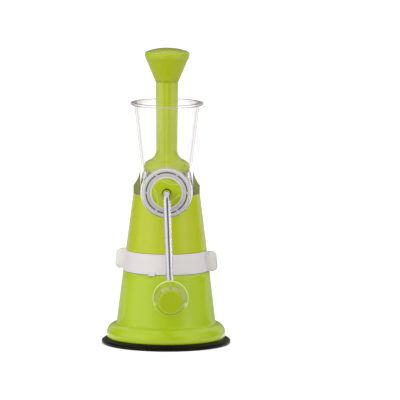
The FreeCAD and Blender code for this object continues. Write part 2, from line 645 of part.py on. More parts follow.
# Lock ring: a white band flush with the cone, with two ears and a small pointer.
ring = new_body("lock_ring")
outline(new_sketch(ring, "RingSection", "XZ_Plane"), [
    ("sleeve_outer", "ring_low"),
    ("ring_low_radius - edge_break", "ring_low"),
    ("ring_low_radius", "ring_low + edge_break"),
    ("ring_top_radius", "ring_top - edge_break"),
    ("ring_top_radius - edge_break", "ring_top"),
    ("sleeve_outer", "ring_top"),
])
turned(ring, doc.RingSection, "V_Axis")
ear_low = "ring_low + ear_inset"
ear_high = "ring_top - ear_inset"
outline(new_sketch(ring, "EarSide", "XZ_Plane"), [
    ("sleeve_outer + ear_root", ear_low),
    ("ear_reach - ear_corner", ear_low),
    "ear_corner", ("ear_reach", ear_low + " + ear_corner"),
    ("ear_reach - ear_taper", ear_high + " - ear_corner"),
    "ear_corner", ("ear_reach - ear_taper - ear_corner", ear_high),
    ("sleeve_outer + ear_root", ear_high),
])
pad(ring, doc.EarSide, "ear_thickness", middle=True)
mirrored(ring, doc.EarSidePad, "YZ_Plane", True)
rectangle(
    new_sketch(ring, "PointerRoot", "XZ_Plane", "ring_low_radius - pointer_sink"),
    "-pointer_width / 2 - pointer_aside", "ring_low + edge_break",
    "pointer_width / 2 - pointer_aside", "ring_low + pointer_root",
)
pad(ring, doc.PointerRoot, "pointer_front - ring_low_radius + pointer_sink")
rectangle(
    new_sketch(ring, "PointerTip", "XZ_Plane", "shoulder_radius + pointer_relief"),
    "-pointer_width / 2 - pointer_aside", "ring_low - pointer_drop",
    "pointer_width / 2 - pointer_aside", "ring_low + pointer_lap",
)
pad(ring, doc.PointerTip, "pointer_proud")
bind(ring, "Placement.Rotation.Angle", "-ring_rest_turn")
finished(ring)

# Cam sleeve: lines the lock ring and holds two helical slots, one for each end pin.
sleeve = new_body("cam_sleeve")
rectangle(
    new_sketch(sleeve, "SleeveSection", "XZ_Plane"),
    "sleeve_inner", "ring_low", "sleeve_outer - seat_gap", "ring_top",
)
turned(sleeve, doc.SleeveSection, "V_Axis")
rectangle(
    new_sketch(sleeve, "CamSection", "XZ_Plane"),
    "sleeve_inner - over_cut", "cam_start - cam_pin_radius - cam_slack",
    "sleeve_outer + over_cut", "cam_start + cam_pin_radius + cam_slack",
)
cam = sleeve.newObject("PartDesign::SubtractiveHelix", "CamSlot")
cam.Profile = doc.CamSection
cam.ReferenceAxis = (doc.CamSection, ["V_Axis"])
cam.Mode = "pitch-height-angle"
bind(cam, "Pitch", "rise_per_turn")
bind(cam, "Height", "cam_rise")
checked(sleeve, cam, False)
round_pattern(sleeve, cam, "Z_Axis", "cam_slots", False)
bind(sleeve, "Placement.Rotation.Angle", "-(90 + cam_margin)")
finished(sleeve)

# Body screws: long screws that stand in wells of the base and hold the upper body.
screws = new_body("body_screws")
head_low = "neck_top - body_screw_bite - body_screw_head_height"
circle(new_sketch(screws, "ScrewHead", "XY_Plane", head_low), "body_screw_head", well)
pad(screws, doc.ScrewHead, "body_screw_head_height")
circle(
    new_sketch(screws, "ScrewShank", "XY_Plane", "neck_top - body_screw_bite"),
    "body_screw_radius", well,
)
pad(screws, doc.ScrewShank, "body_screw_bite + body_screw_grip")
hexagon(new_sketch(screws, "ScrewDrive", "XY_Plane", head_low), "screw_flats", well)
pocket(screws, doc.ScrewDrive, "body_screw_head_height / 2", back=True)
repeated(screws, "body_screw_count")
finished(screws)

# Upper body: the cone above the ring, with a cradle for the clear housing.
upper = new_body("upper_body")
outline(new_sketch(upper, "UpperSection", "XZ_Plane"), [
    ("0", "neck_top"),
    ("body_low_radius", "neck_top"),
    ("cone_top_radius", "cone_top"),
    ("0", "cone_top"),
])
turned(upper, doc.UpperSection, "V_Axis")
ON_AXIS = ("0", "axis_height")
circle(new_sketch(upper, "Cradle", "XZ_Plane"), "cradle_radius", ON_AXIS)
pocket(upper, doc.Cradle, "through_cut", middle=True)
circle(new_sketch(upper, "StudRoom", "XY_Plane", "neck_top"), "washer_radius + washer_room")
pocket(upper, doc.StudRoom, "stud_top + lift_travel + washer_room - neck_top", back=True)
thread = new_sketch(upper, "UpperThread", "XY_Plane", "neck_top")
circle(thread, "body_screw_radius + seat_gap", well)
pocket(upper, thread, "body_screw_grip + end_room", back=True)
round_pattern(upper, doc.UpperThreadPocket, "Z_Axis", "body_screw_count", False)

# Sockets for the saddle wings' tongues.
sockets = new_sketch(upper, "TongueSockets", "XY_Plane", "cone_top")
for side in ("", "-"):
    rectangle(
        sockets, f"{side}tongue_across - (tongue_width / 2 + seat_gap)",
        "-(tongue_length / 2 + seat_gap)",
        f"{side}tongue_across + tongue_width / 2 + seat_gap", "tongue_length / 2 + seat_gap",
    )
pocket(upper, sockets, "tongue_depth + end_room")
finished(upper)

# Saddle wings: a dark bell on the cone, cut by a U that the housing drops into, so
# that a pointed wing is left on each side of it, with a tongue into the cone.
wings = new_body("saddle_wings")
wings.AllowCompound = True
outline(new_sketch(wings, "WingSection", "XZ_Plane"), [
    ("0", "cone_top"),
    ("cone_top_radius", "cone_top"),
    ("cone_top_radius", "cone_top + wing_height"),
    "-wing_curve", ("wing_tip_radius", "wing_tip_height"),
    ("0", "wing_tip_height"),
])
turned(wings, doc.WingSection, "V_Axis")
circle(new_sketch(wings, "WingCradle", "XZ_Plane"), "cradle_radius", ON_AXIS)
pocket(wings, doc.WingCradle, "through_cut", middle=True)
rectangle(
    new_sketch(wings, "WingMouth", "XZ_Plane"),
    "-cradle_radius", "axis_height", "cradle_radius", "wing_tip_height + over_cut",
)
pocket(wings, doc.WingMouth, "through_cut", middle=True)
tongues = new_sketch(wings, "WingTongues", "XY_Plane", "cone_top")
for side in ("", "-"):
    rectangle(
        tongues, f"{side}tongue_across - tongue_width / 2", "-tongue_length / 2",
        f"{side}tongue_across + tongue_width / 2", "tongue_length / 2",
    )
pad(wings, tongues, "tongue_depth", back=True)
finished(wings)

# Hopper housing: one clear moulding, a funnel on a sleeve that holds the auger's
# barrel, with a floor and a throat between them and a spigot for the rear collar.
housing = new_body("hopper_housing")
circle(new_sketch(housing, "FrontWall", "XZ_Plane", "sleeve_half"), "sleeve_radius", ON_AXIS)
pad(housing, doc.FrontWall, "end_wall", back=True)
shell = new_sketch(housing, "SleeveShell", "XZ_Plane", "sleeve_half")
circle(shell, "sleeve_radius", ON_AXIS)
circle(shell, "sleeve_radius - sleeve_skin", ON_AXIS)
pad(housing, shell, "2 * sleeve_half", back=True)
circle(new_sketch(housing, "Barrel", "XZ_Plane", "sleeve_half"), "barrel_radius", ON_AXIS)
pad(housing, doc.Barrel, "2 * sleeve_half + bayonet_length", back=True)
spigot = new_sketch(housing, "Spigot", "XZ_Plane", "-(sleeve_half - end_wall)")
circle(spigot, "bayonet_radius", ON_AXIS)
pad(housing, spigot, "end_wall + bayonet_length", back=True)
outline(new_sketch(housing, "FunnelSection", "XZ_Plane"), [
    ("0", "funnel_low"),
    ("funnel_low_radius", "funnel_low"),
    ("hopper_top_radius", "hopper_top - lip_height"),
    ("lip_radius - edge_break", "hopper_top - lip_height"),
    ("lip_radius", "hopper_top - lip_height / 2"),
    ("lip_radius - edge_break", "hopper_top"),
    ("0", "hopper_top"),
])
turned(housing, doc.FunnelSection, "V_Axis")
outline(new_sketch(housing, "FunnelHollow", "XZ_Plane"), [
    ("0", "floor_height"),
    ("hopper_low_radius - hopper_wall", "floor_height"),
    ("hopper_mouth_radius", "hopper_top"),
    ("hopper_mouth_radius", "hopper_top + over_cut"),
    ("0", "hopper_top + over_cut"),
])
turned(housing, doc.FunnelHollow, "V_Axis", cut=True)
circle(new_sketch(housing, "BarrelBore", "XZ_Plane", "sleeve_half"), "barrel_bore", ON_AXIS)
pocket(housing, doc.BarrelBore, "2 * sleeve_half + bayonet_length")
circle(new_sketch(housing, "Throat", "XY_Plane", "floor_height"), "throat_radius")
pocket(housing, doc.Throat, "floor_height - axis_height")
groove = new_sketch(housing, "KeyGroove", "XZ_Plane", "sleeve_half")
circle(groove, "collar_key_radius + key_half + seat_gap", ON_AXIS)
circle(groove, "collar_key_radius - key_half - seat_gap", ON_AXIS)
pocket(housing, groove, "collar_key + loose_gap")
finished(housing)

# Front collar: the clear bearing ring round the drive hub, with a rounded bead,
# six arc slots and a ridge that keys it into the housing.
collar = on_auger_axis(new_body("front_collar"))
outline(new_sketch(collar, "CollarSection", "YZ_Plane"), [
    ("-sleeve_half", "hub_radius + running_gap"),
    ("-sleeve_half", "collar_radius - edge_break"),
    ("-(sleeve_half + edge_break)", "collar_radius"),
    ("-(collar_front - collar_round)", "collar_radius"),
    "collar_round", ("-collar_front", "collar_radius - collar_round"),
    ("-collar_front", "slot_radius - slot_width / 2"),
    ("-(collar_front - inner_step)", "slot_radius - slot_width / 2 - inner_bevel"),
    ("-(collar_front - inner_step)", "hub_radius + running_gap"),
])
turned(collar, doc.CollarSection, "H_Axis")
rectangle(
    new_sketch(collar, "SealGroove", "YZ_Plane"),
    "-(seal_middle + seal_width / 2 + seat_gap)", "hub_radius",
    "-(seal_middle - seal_width / 2 - seat_gap)", "hub_radius + seal_height + 2 * loose_gap",
)
turned(collar, doc.SealGroove, "H_Axis", cut=True)
key = new_sketch(collar, "CollarKey", "XZ_Plane", "sleeve_half")
circle(key, "collar_key_radius + key_half")
circle(key, "collar_key_radius - key_half")
pad(collar, key, "collar_key", back=True)
inner = "(slot_radius - slot_width / 2)"
outer = "(slot_radius + slot_width / 2)"
edge = "(90 - slot_span / 2)"
outline(new_sketch(collar, "ArcSlot", "XZ_Plane", "collar_front"), [
    (f"{inner} * cos{edge}", f"{inner} * sin{edge}"),
    (f"{outer} * cos{edge}", f"{outer} * sin{edge}"),
    outer, (f"-{outer} * cos{edge}", f"{outer} * sin{edge}"),
    (f"-{inner} * cos{edge}", f"{inner} * sin{edge}"),
    f"-{inner}",
])
pocket(collar, doc.ArcSlot, "slot_depth")
round_pattern(collar, doc.ArcSlotPocket, "Y_Axis", "slot_count", False)
finished(collar)

# Shaft seal: a silicone ring in the collar's groove, just clear of the hub.
seal = on_auger_axis(new_body("shaft_seal"))
rectangle(
    new_sketch(seal, "SealSection", "YZ_Plane"),
    "-(seal_middle + seal_width / 2)", "hub_radius + loose_gap",
    "-(seal_middle - seal_width / 2)", "hub_radius + loose_gap + seal_height",
)
turned(seal, doc.SealSection, "H_Axis")
finished(seal)

# Drive hub: the green end piece of the auger line, with three swirl cuts on its
# face, a socket for the crank rod and a hexagonal one for the auger shaft.
hub = on_crank(new_body("drive_hub"))
outline(new_sketch(hub, "HubSection", "YZ_Plane"), [
    ("-hub_back", "0"),
    ("-hub_back", "hub_radius"),
    ("-(hub_front - edge_break)", "hub_radius"),
    ("-hub_front", "hub_radius - edge_break"),
    ("-hub_front", "0"),
])
turned(hub, doc.HubSection, "H_Axis")
circle(new_sketch(hub, "SwirlCut", "XZ_Plane", "hub_front"), "swirl_radius", (
    "(swirl_radius + swirl_reach) * cos(swirl_turn)",
    "(swirl_radius + swirl_reach) * sin(swirl_turn)",
))
pocket(hub, doc.SwirlCut, "swirl_depth")
round_pattern(hub, doc.SwirlCutPocket, "Y_Axis", "swirl_count", False)
circle(new_sketch(hub, "RodMouth", "XZ_Plane", "hub_front"), "entry_radius")
pocket(hub, doc.RodMouth, "entry_depth")
circle(new_sketch(hub, "RodSocket", "XZ_Plane", "hub_front"), "rod_radius + seat_gap")
pocket(hub, doc.RodSocket, "rod_grip + end_room")
hexagon(new_sketch(hub, "ShaftSocket", "XZ_Plane", "hub_back"), "shaft_flats + 2 * seat_gap")
pocket(hub, doc.ShaftSocket, "shaft_grip + end_room", back=True)
pin_spot = ("0", "-(hub_front - drive_pin_place)")
circle(new_sketch(hub, "PinWay", "XY_Plane"), "drive_pin_radius + seat_gap", pin_spot)
pocket(hub, doc.PinWay, "through_cut", middle=True)
finished(hub)

# Drive pin: the steel cross pin that ties the crank rod to the hub.
pin = on_crank(new_body("drive_pin"))
circle(new_sketch(pin, "PinRound", "XY_Plane"), "drive_pin_radius", pin_spot)
pad(pin, doc.PinRound, "2 * (hub_radius - pin_inset)", middle=True)
finished(pin)

# Crank rod: one bent steel rod, into the hub, down the arm and out through the knob.
rod = on_crank(new_body("crank_rod"))
outline(new_sketch(rod, "RodRoute", "YZ_Plane"), [
    ("-(hub_front - rod_grip)", "0"),
    ("-(rod_plane - rod_bend)", "0"),
    "rod_bend", ("-rod_plane", "-rod_bend"),
    ("-rod_plane", "-(crank_radius - rod_bend)"),
    "-rod_bend", ("-(rod_plane + rod_bend)", "-crank_radius"),
    ("-rod_end", "-crank_radius"),
], closed=False)
circle(new_sketch(rod, "RodSection", "XZ_Plane", "hub_front - rod_grip"), "rod_radius")
pipe = rod.newObject("PartDesign::AdditivePipe", "RodPipe")
pipe.Profile = doc.RodSection
pipe.Spine = doc.RodRoute
checked(rod, pipe, True)
circle(new_sketch(rod, "RodPinWay", "XY_Plane"), "drive_pin_radius + seat_gap", pin_spot)
pocket(rod, doc.RodPinWay, "2 * (rod_radius + over_cut)", middle=True)
finished(rod)

# Knob: a turned handle with a thin back rim and a hollow flank, bored for the rod,
# with room in front for the clip washer.
knob = on_knob_axis(new_body("knob"))
outline(new_sketch(knob, "KnobSection", "YZ_Plane"), [
    ("-knob_back", "rod_radius + running_gap"),
    ("-knob_bearing", "rod_radius + running_gap"),
    ("-knob_bearing", "nose_room"),
    ("-cap_seam", "nose_room"),
    ("-cap_seam", "knob_front_radius"),
    "knob_hollow", ("-(knob_back + knob_rim)", "knob_back_radius"),
    ("-knob_back", "knob_back_radius - edge_break"),
])
turned(knob, doc.KnobSection, "H_Axis")
finished(knob)

# Clip washer: the steel push-on clip that keeps the knob on the rod.
clip = on_knob_axis(new_body("knob_clip"))
circle(new_sketch(clip, "ClipRound", "XZ_Plane", "knob_bearing + loose_gap"), "clip_radius")
circle(doc.ClipRound, "rod_radius + seat_gap")
pad(clip, doc.ClipRound, "clip_height")
finished(clip)

# Knob cap: the knob's whole front face with its round edge, on a spigot in the knob.
cap = on_knob_axis(new_body("knob_cap"))
outline(new_sketch(cap, "KnobCapSection", "YZ_Plane"), [
    ("-(cap_seam - cap_spigot)", "0"),
    ("-(cap_seam - cap_spigot)", "nose_room - seat_gap"),
    ("-cap_seam", "nose_room - seat_gap"),
    ("-cap_seam", "knob_front_radius"),
    ("-(knob_front - knob_round)", "knob_front_radius"),
    "knob_round", ("-knob_front", "knob_front_radius - knob_round"),
    ("-knob_front", "0"),
])
turned(cap, doc.KnobCapSection, "H_Axis")
finished(cap)

# Auger shaft: the hexagonal steel bar that carries the turn from hub to auger.
shaft = on_crank(new_body("auger_shaft"))
hexagon(new_sketch(shaft, "ShaftFlats", "XZ_Plane", "shaft_front"), "shaft_flats")
pad(shaft, doc.ShaftFlats, "shaft_length", back=True)
finished(shaft)

# Auger: a core with a helical flight that carries the grass toward the rear through
# the barrel, and a core that narrows with the strainer behind it.
auger = on_crank(new_body("auger"))
outline(new_sketch(auger, "CoreSection", "YZ_Plane"), [
    ("-auger_front", "0"),
    ("-auger_front", "auger_core"),
    ("strainer_start", "auger_core"),
    ("auger_end", "tip_radius"),
    ("auger_end", "0"),
])
turned(auger, doc.CoreSection, "H_Axis")
outline(new_sketch(auger, "FlightSection", "YZ_Plane"), [
    ("-auger_front", "auger_core - flight_sink"),
    ("-auger_front + flight_root", "auger_core - flight_sink"),
    ("-auger_front + flight_root / 2 + flight_edge / 2", "auger_radius"),
    ("-auger_front + flight_root / 2 - flight_edge / 2", "auger_radius"),
])
flight = auger.newObject("PartDesign::AdditiveHelix", "Flight")
flight.Profile = doc.FlightSection
flight.ReferenceAxis = (doc.FlightSection, ["H_Axis"])
flight.Mode = "pitch-turns-angle"
bind(flight, "Pitch", "auger_pitch")
bind(flight, "Turns", "auger_turns")
checked(auger, flight, True)
hexagon(new_sketch(auger, "AugerSocket", "XZ_Plane", "auger_front"), "shaft_flats + 2 * seat_gap")
pocket(auger, doc.AugerSocket, "shaft_end + auger_front + end_room")
finished(auger)

# Strainer: a steel cone with a flange and rows of long drain slots.
strainer = on_auger_axis(new_body("strainer"))
outline(new_sketch(strainer, "StrainerSection", "YZ_Plane"), [
    ("strainer_start", "barrel_bore"),
    ("strainer_end", "strainer_end_radius"),
    ("strainer_end", "strainer_end_radius + strainer_wall"),
    ("strainer_start + strainer_flange_height", "barrel_bore + strainer_wall"),
    ("strainer_start + strainer_flange_height", "strainer_flange"),
    ("strainer_start", "strainer_flange"),
])
turned(strainer, doc.StrainerSection, "H_Axis")
rectangle(
    new_sketch(strainer, "DrainSlot", "XY_Plane"),
    "-drain_slot_width / 2", "strainer_start + drain_slot_margin",
    "drain_slot_width / 2", "strainer_end - drain_slot_margin",
)
pocket(strainer, doc.DrainSlot, "strainer_flange", back=True)
round_pattern(strainer, doc.DrainSlotPocket, "Y_Axis", "drain_slot_count", False)
finished(strainer)

# Juice cover: the clear cone round the strainer, with a flange and a spout.
cover = on_auger_axis(new_body("juice_cover"))
outline(new_sketch(cover, "CoverSection", "YZ_Plane"), [
    ("cover_start", "0"),
    ("cover_start", "cover_flange"),
    ("cover_start + cover_flange_height", "cover_flange"),
    ("cover_start + cover_flange_height", "cover_low_radius + cover_wall"),
    ("cover_end", "cover_end_radius + cover_wall"),
    ("cover_end", "0"),
])
turned(cover, doc.CoverSection, "H_Axis")
spout_spot = ("0", "cover_start + spout_place")
circle(new_sketch(cover, "SpoutRound", "XY_Plane"), "spout_radius", spout_spot)
pad(cover, doc.SpoutRound, "spout_drop", back=True)
outline(new_sketch(cover, "CoverHollow", "YZ_Plane"), [
    ("cover_start - over_cut", "0"),
    ("cover_start - over_cut", "cover_low_radius"),
    ("cover_start + cover_flange_height", "cover_low_radius"),
    ("cover_end - cover_wall", "cover_end_radius"),
    ("cover_end + over_cut", "cover_end_radius"),
    ("cover_end + over_cut", "0"),
])
turned(cover, doc.CoverHollow, "H_Axis", cut=True)
circle(new_sketch(cover, "SpoutBore", "XY_Plane"), "spout_bore", spout_spot)
pocket(cover, doc.SpoutBore, "spout_drop + over_cut")
finished(cover)

# Cover seal: the silicone ring between the housing's spigot and the rear collar.
cover_seal = on_auger_axis(new_body("cover_seal"))
rectangle(
    new_sketch(cover_seal, "CoverSealSection", "YZ_Plane"),
    "gasket_start", "bayonet_radius + loose_gap",
    "gasket_start + gasket_length", "bayonet_radius + loose_gap + gasket_height",
)
turned(cover_seal, doc.CoverSealSection, "H_Axis")
finished(cover_seal)

# Rear collar: the turning clear ring that clamps strainer and cover to the housing.
rear = on_auger_axis(new_body("rear_collar"))
outline(new_sketch(rear, "RearSection", "YZ_Plane"), [
    ("sleeve_half + loose_gap", "gland_radius"),
    ("sleeve_half + gland_length", "gland_radius"),
    ("sleeve_half + gland_length", "bayonet_radius + running_gap"),
    ("sleeve_half + bayonet_length", "bayonet_radius + running_gap"),
    ("sleeve_half + bayonet_length", "cover_flange + loose_gap"),
    ("rear_collar_end - collar_lip", "cover_flange + loose_gap"),
    ("rear_collar_end - collar_lip", "rear_collar_opening"),
    ("rear_collar_end", "rear_collar_opening"),
    ("rear_collar_end", "rear_collar_radius - edge_break"),
    ("rear_collar_end - edge_break", "rear_collar_radius"),
    ("sleeve_half + loose_gap", "rear_collar_radius"),
])
turned(rear, doc.RearSection, "H_Axis")
flute = new_sketch(rear, "GripFlute", "XZ_Plane", "-rear_collar_end")
circle(flute, "grip_radius", ("0", "rear_collar_radius + grip_out"))
pocket(rear, flute, "rear_collar_end", back=True)
round_pattern(rear, doc.GripFlutePocket, "Y_Axis", "grip_count", False)
finished(rear)

# Pulp nozzle: the short tube at the strainer's small end, where dry pulp leaves.
nozzle = on_auger_axis(new_body("pulp_nozzle"))
outline(new_sketch(nozzle, "NozzleSection", "YZ_Plane"), [
    ("cover_end", "socket_radius + seat_gap"),
    ("strainer_end + seat_gap", "strainer_end_radius + strainer_wall + seat_gap"),
    ("strainer_end + seat_gap", "strainer_end_radius"),
    ("cover_end + nozzle_length", "nozzle_mouth"),
    ("cover_end + nozzle_length", "nozzle_mouth + nozzle_wall"),
    ("cover_end", "cover_end_radius + cover_wall"),
])
turned(nozzle, doc.NozzleSection, "H_Axis")
finished(nozzle)

# Pusher stem: a round foot that just fits the hopper's floor, a bell and a stem,
# with a socket on top for the cap's plug.
stem = new_body("pusher_stem")
outline(new_sketch(stem, "StemSection", "XZ_Plane"), [
    ("0", "foot_low"),
    ("foot_radius - edge_break", "foot_low"),
    ("foot_radius", "foot_low + edge_break"),
    ("foot_top_radius", "foot_low + foot_height"),
    "bell_round", ("bell_waist_radius", "foot_low + foot_height + bell_waist_height"),
    "-bell_hollow", ("stem_low_radius", "bell_top"),
    ("stem_top_radius", "stem_top"),
    ("0", "stem_top"),
])
turned(stem, doc.StemSection, "V_Axis")
circle(new_sketch(stem, "PlugSocket", "XY_Plane", "stem_top"), "cap_plug_radius + seat_gap")
pocket(stem, doc.PlugSocket, "cap_plug_length + end_room")
finished(stem)

# Pusher cap: the flared palm cap with a domed top, plugged into the stem.
palm = new_body("pusher_cap")
outline(new_sketch(palm, "PalmSection", "XZ_Plane"), [
    ("0", "stem_top"),
    ("pusher_cap_low", "stem_top"),
    ("pusher_flank_radius", "stem_top + pusher_flank_height"),
    "pusher_flank_round", ("pusher_cap_radius", "stem_top + pusher_shoulder"),
    "pusher_edge", ("crown_radius", "stem_top + pusher_shoulder + pusher_edge_height"),
    "pusher_dome", ("0", "stem_top + pusher_crown"),
])
turned(palm, doc.PalmSection, "V_Axis")
circle(new_sketch(palm, "PalmPlug", "XY_Plane", "stem_top"), "cap_plug_radius")
pad(palm, doc.PalmPlug, "cap_plug_length", back=True)
finished(palm)

# Every piece has to be whole before anything is written.
for thing in doc.Objects:
    if "Invalid" in thing.State or "Error" in thing.State:
        raise ValueError(f"{thing.Name} did not build: {thing.State}")
for body in parts:
    if body.Shape.isNull() or not body.Shape.isValid():
        raise ValueError(f"{body.Label} has no valid solid")

os.makedirs("parts", exist_ok=True)
for body in parts:
    body.Shape.exportStep(f"parts/{body.Label}.step")
    print(body.Label, len(body.Shape.Solids), round(body.Shape.Volume))
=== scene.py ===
# %% [markdown]
# # A hand cranked wheatgrass juicer
# Grass goes in at the top, the crank turns a screw that presses it against a sieve, and
# juice runs out of a spout under the sieve.
#
# The juicer is a lime green cone on a suction foot. A clear hopper and barrel sit in
# its top, a bent steel rod turns the auger, and a white ring locks the foot down.
# The shapes of all pieces come from the CAD frame, in metres, at their true places.
# This lesson gives each piece its finish and the fine detail that light needs.

# %% Load the frame
import json
import math

import bmesh
import bpy
from mathutils import Matrix, Vector

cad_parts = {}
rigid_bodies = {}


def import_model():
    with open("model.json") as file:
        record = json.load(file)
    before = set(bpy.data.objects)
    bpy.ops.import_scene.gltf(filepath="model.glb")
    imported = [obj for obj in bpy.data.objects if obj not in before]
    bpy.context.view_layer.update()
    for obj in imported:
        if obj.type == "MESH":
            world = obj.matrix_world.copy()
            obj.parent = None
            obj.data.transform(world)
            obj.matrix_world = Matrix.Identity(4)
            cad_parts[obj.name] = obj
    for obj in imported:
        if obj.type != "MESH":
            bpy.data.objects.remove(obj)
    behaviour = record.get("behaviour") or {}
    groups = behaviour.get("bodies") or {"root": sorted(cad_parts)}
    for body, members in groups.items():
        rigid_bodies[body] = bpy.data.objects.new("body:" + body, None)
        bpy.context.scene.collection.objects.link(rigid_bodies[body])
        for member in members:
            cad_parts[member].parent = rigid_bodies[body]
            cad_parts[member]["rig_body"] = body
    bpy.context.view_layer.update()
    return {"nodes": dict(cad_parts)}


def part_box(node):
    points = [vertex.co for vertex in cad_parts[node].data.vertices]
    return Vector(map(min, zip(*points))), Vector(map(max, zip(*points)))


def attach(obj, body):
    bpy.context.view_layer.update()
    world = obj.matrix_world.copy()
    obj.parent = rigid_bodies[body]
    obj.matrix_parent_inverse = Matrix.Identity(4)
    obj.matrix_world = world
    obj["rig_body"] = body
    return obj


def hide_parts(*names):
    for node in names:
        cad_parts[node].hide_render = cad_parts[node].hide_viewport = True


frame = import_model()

nodes = frame["nodes"]
MM = 0.001
print("Pieces in the frame:", len(nodes))

# %% [markdown]
# ## Sheets of nodes written as sums
# A finish is a sheet of linked nodes. Linking them by hand in code is long and hard to
# read, so a small class wraps a socket and lets Python's own signs build Math nodes.
# The same class works on shader sheets and on geometry sheets.

# %% A wire and a sheet
class Wire:
    """One output socket. Sums on it add Math nodes to its sheet."""

    def __init__(self, sheet, socket):
        self.sheet, self.socket = sheet, socket

    def __add__(self, other):
        return self.sheet.maths("ADD", self, other)

    def __radd__(self, other):
        return self.sheet.maths("ADD", other, self)

    def __sub__(self, other):
        return self.sheet.maths("SUBTRACT", self, other)

    def __rsub__(self, other):
        return self.sheet.maths("SUBTRACT", other, self)

    def __mul__(self, other):
        return self.sheet.maths("MULTIPLY", self, other)

    def __rmul__(self, other):
        return self.sheet.maths("MULTIPLY", other, self)

    def __truediv__(self, other):
        return self.sheet.maths("DIVIDE", self, other)

    def __pow__(self, other):
        return self.sheet.maths("POWER", self, other)

    def __abs__(self):
        return self.sheet.maths("ABSOLUTE", self)

    def __gt__(self, other):
        return self.sheet.maths("GREATER_THAN", self, other)


class Sheet:
    """A node tree with one method that adds any node."""

    def __init__(self, tree):
        self.tree = tree
        tree.nodes.clear()

    def node(self, kind, settings=(), inputs=(), output=0):
        """Adds a node. Settings are its own options, and inputs are wires or values."""
        made = self.tree.nodes.new(kind)
        for name, value in dict(settings).items():
            if name == "stops":
                ramp = made.color_ramp
                while len(ramp.elements) < len(value):
                    ramp.elements.new(0.5)
                for element, (place, colour) in zip(ramp.elements, value):
                    element.position, element.color = place, colour
            else:
                setattr(made, name, value)
        for name, value in dict(inputs).items():
            entry = made.inputs[name]
            if isinstance(value, Wire):
                self.tree.links.new(value.socket, entry)
            else:
                entry.default_value = value
        return Wire(self, made.outputs[output]) if len(made.outputs) else made

    def maths(self, operation, *terms):
        return self.node("ShaderNodeMath", {"operation": operation}, dict(enumerate(terms)))

    def between(self, value, low, high):
        """0 below low, 1 above high, with a soft passage between them."""
        return self.node(
            "ShaderNodeMapRange",
            {"interpolation_type": "SMOOTHSTEP"},
            {"Value": value, "From Min": low, "From Max": high},
        )

    def spot(self, x=0.0, y=0.0, z=0.0):
        """A vector from three sums or numbers."""
        return self.node("ShaderNodeCombineXYZ", (), {0: x, 1: y, 2: z})

    def blended(self, share, first, second):
        """Colour first where share is 0, and second where it is 1."""
        return self.node(
            "ShaderNodeMix",
            {"data_type": "RGBA"},
            {0: share, 6: first, 7: second},
            output=2,
        )


print("Wire and Sheet are ready")

# %% [markdown]
# ## What all finishes share
# The photo gives screen colours, and a shader wants light amounts, so a colour is
# converted once in Python. Each finish starts from the place on the piece in metres,
# which stays fixed to the piece when it moves.

# %% Colours and patterns
def screen(red, green, blue):
    """A screen colour of 0 to 255 as the light amounts that a shader takes."""
    parts = []
    for level in (red, green, blue):
        share = level / 255
        low = share <= 0.04045
        parts.append(share / 12.92 if low else ((share + 0.055) / 1.055) ** 2.4)
    return (*parts, 1.0)


def finish_sheet(name):
    """A new finish, its sheet, and the place on the piece as a vector and three sums."""
    finish = bpy.data.materials.new(name)
    finish.use_nodes = True
    sheet = Sheet(finish.node_tree)
    place = sheet.node("ShaderNodeTexCoord", output=3)
    split = sheet.node("ShaderNodeSeparateXYZ", (), {0: place})
    axes = [Wire(sheet, split.socket.node.outputs[i]) for i in range(3)]
    return finish, sheet, place, axes


def cloud(sheet, place, scale, detail=2.0, stretch=None):
    """Soft noise of 0 to 1, with its spots 1 / scale metres apart."""
    if stretch:
        place = sheet.node("ShaderNodeMapping", (), {"Vector": place, "Scale": stretch})
    return sheet.node(
        "ShaderNodeTexNoise", (), {"Vector": place, "Scale": scale, "Detail": detail}
    )


def bumped(sheet, height, distance, strength=1.0, under=None):
    """A normal that follows height, times distance in metres."""
    inputs = {"Height": height, "Distance": distance, "Strength": strength}
    if under:
        inputs["Normal"] = under
    return sheet.node("ShaderNodeBump", (), inputs)


def close(sheet, shader):
    """Puts the shader on the sheet's output."""
    sheet.node("ShaderNodeOutputMaterial", (), {"Surface": shader})


print("A grey of 128 on screen is", round(screen(128, 128, 128)[0], 3), "in light")

# %% [markdown]
# ## Glossy moulded plastic
# The stand, the pusher, the hub and the knob are injection moulded in glossy lime
# plastic. Such a surface is nearly a mirror with a colour under it, with a faint
# ripple where it shrank in the mould, flow marks in the colour, and small scratches
# that only show in the gloss. One function makes them all, each with its own tone.

# %% A moulded plastic
def moulded(name, colour, deep, extra=None, gloss=0.22, ripple=0.000012, flow=(1, 1, 0.25)):
    """extra(sheet, axes, base) may change the colour, and gives a height for the skin."""
    finish, sheet, place, axes = finish_sheet(name)
    tone = sheet.between(cloud(sheet, place, 30, stretch=flow), 0.3, 0.75)
    speck = sheet.between(cloud(sheet, place, 900, detail=0), 0.55, 0.8)
    base = sheet.blended(tone * 0.35 + speck * 0.05, colour, deep)
    rubs = sheet.between(cloud(sheet, place, 60, detail=6), 0.5, 0.75)
    hairs = sheet.between(cloud(sheet, place, 400, stretch=(1, 1, 0.06)), 0.62, 0.75)
    rough = gloss + rubs * 0.025 + hairs * 0.025
    peel = cloud(sheet, place, 170, detail=1)
    grain = cloud(sheet, place, 1500, detail=2)
    normal = bumped(sheet, grain, ripple * 0.12)
    normal = bumped(sheet, peel, ripple, under=normal)
    if extra:
        base, height = extra(sheet, axes, base)
        normal = bumped(sheet, height, 0.0003, under=normal)
    close(sheet, sheet.node("ShaderNodeBsdfPrincipled", (), {
        "Base Color": base, "Roughness": rough, "Normal": normal,
        "IOR": 1.5, "Coat Weight": 0.25, "Coat Roughness": 0.06,
    }))
    return finish


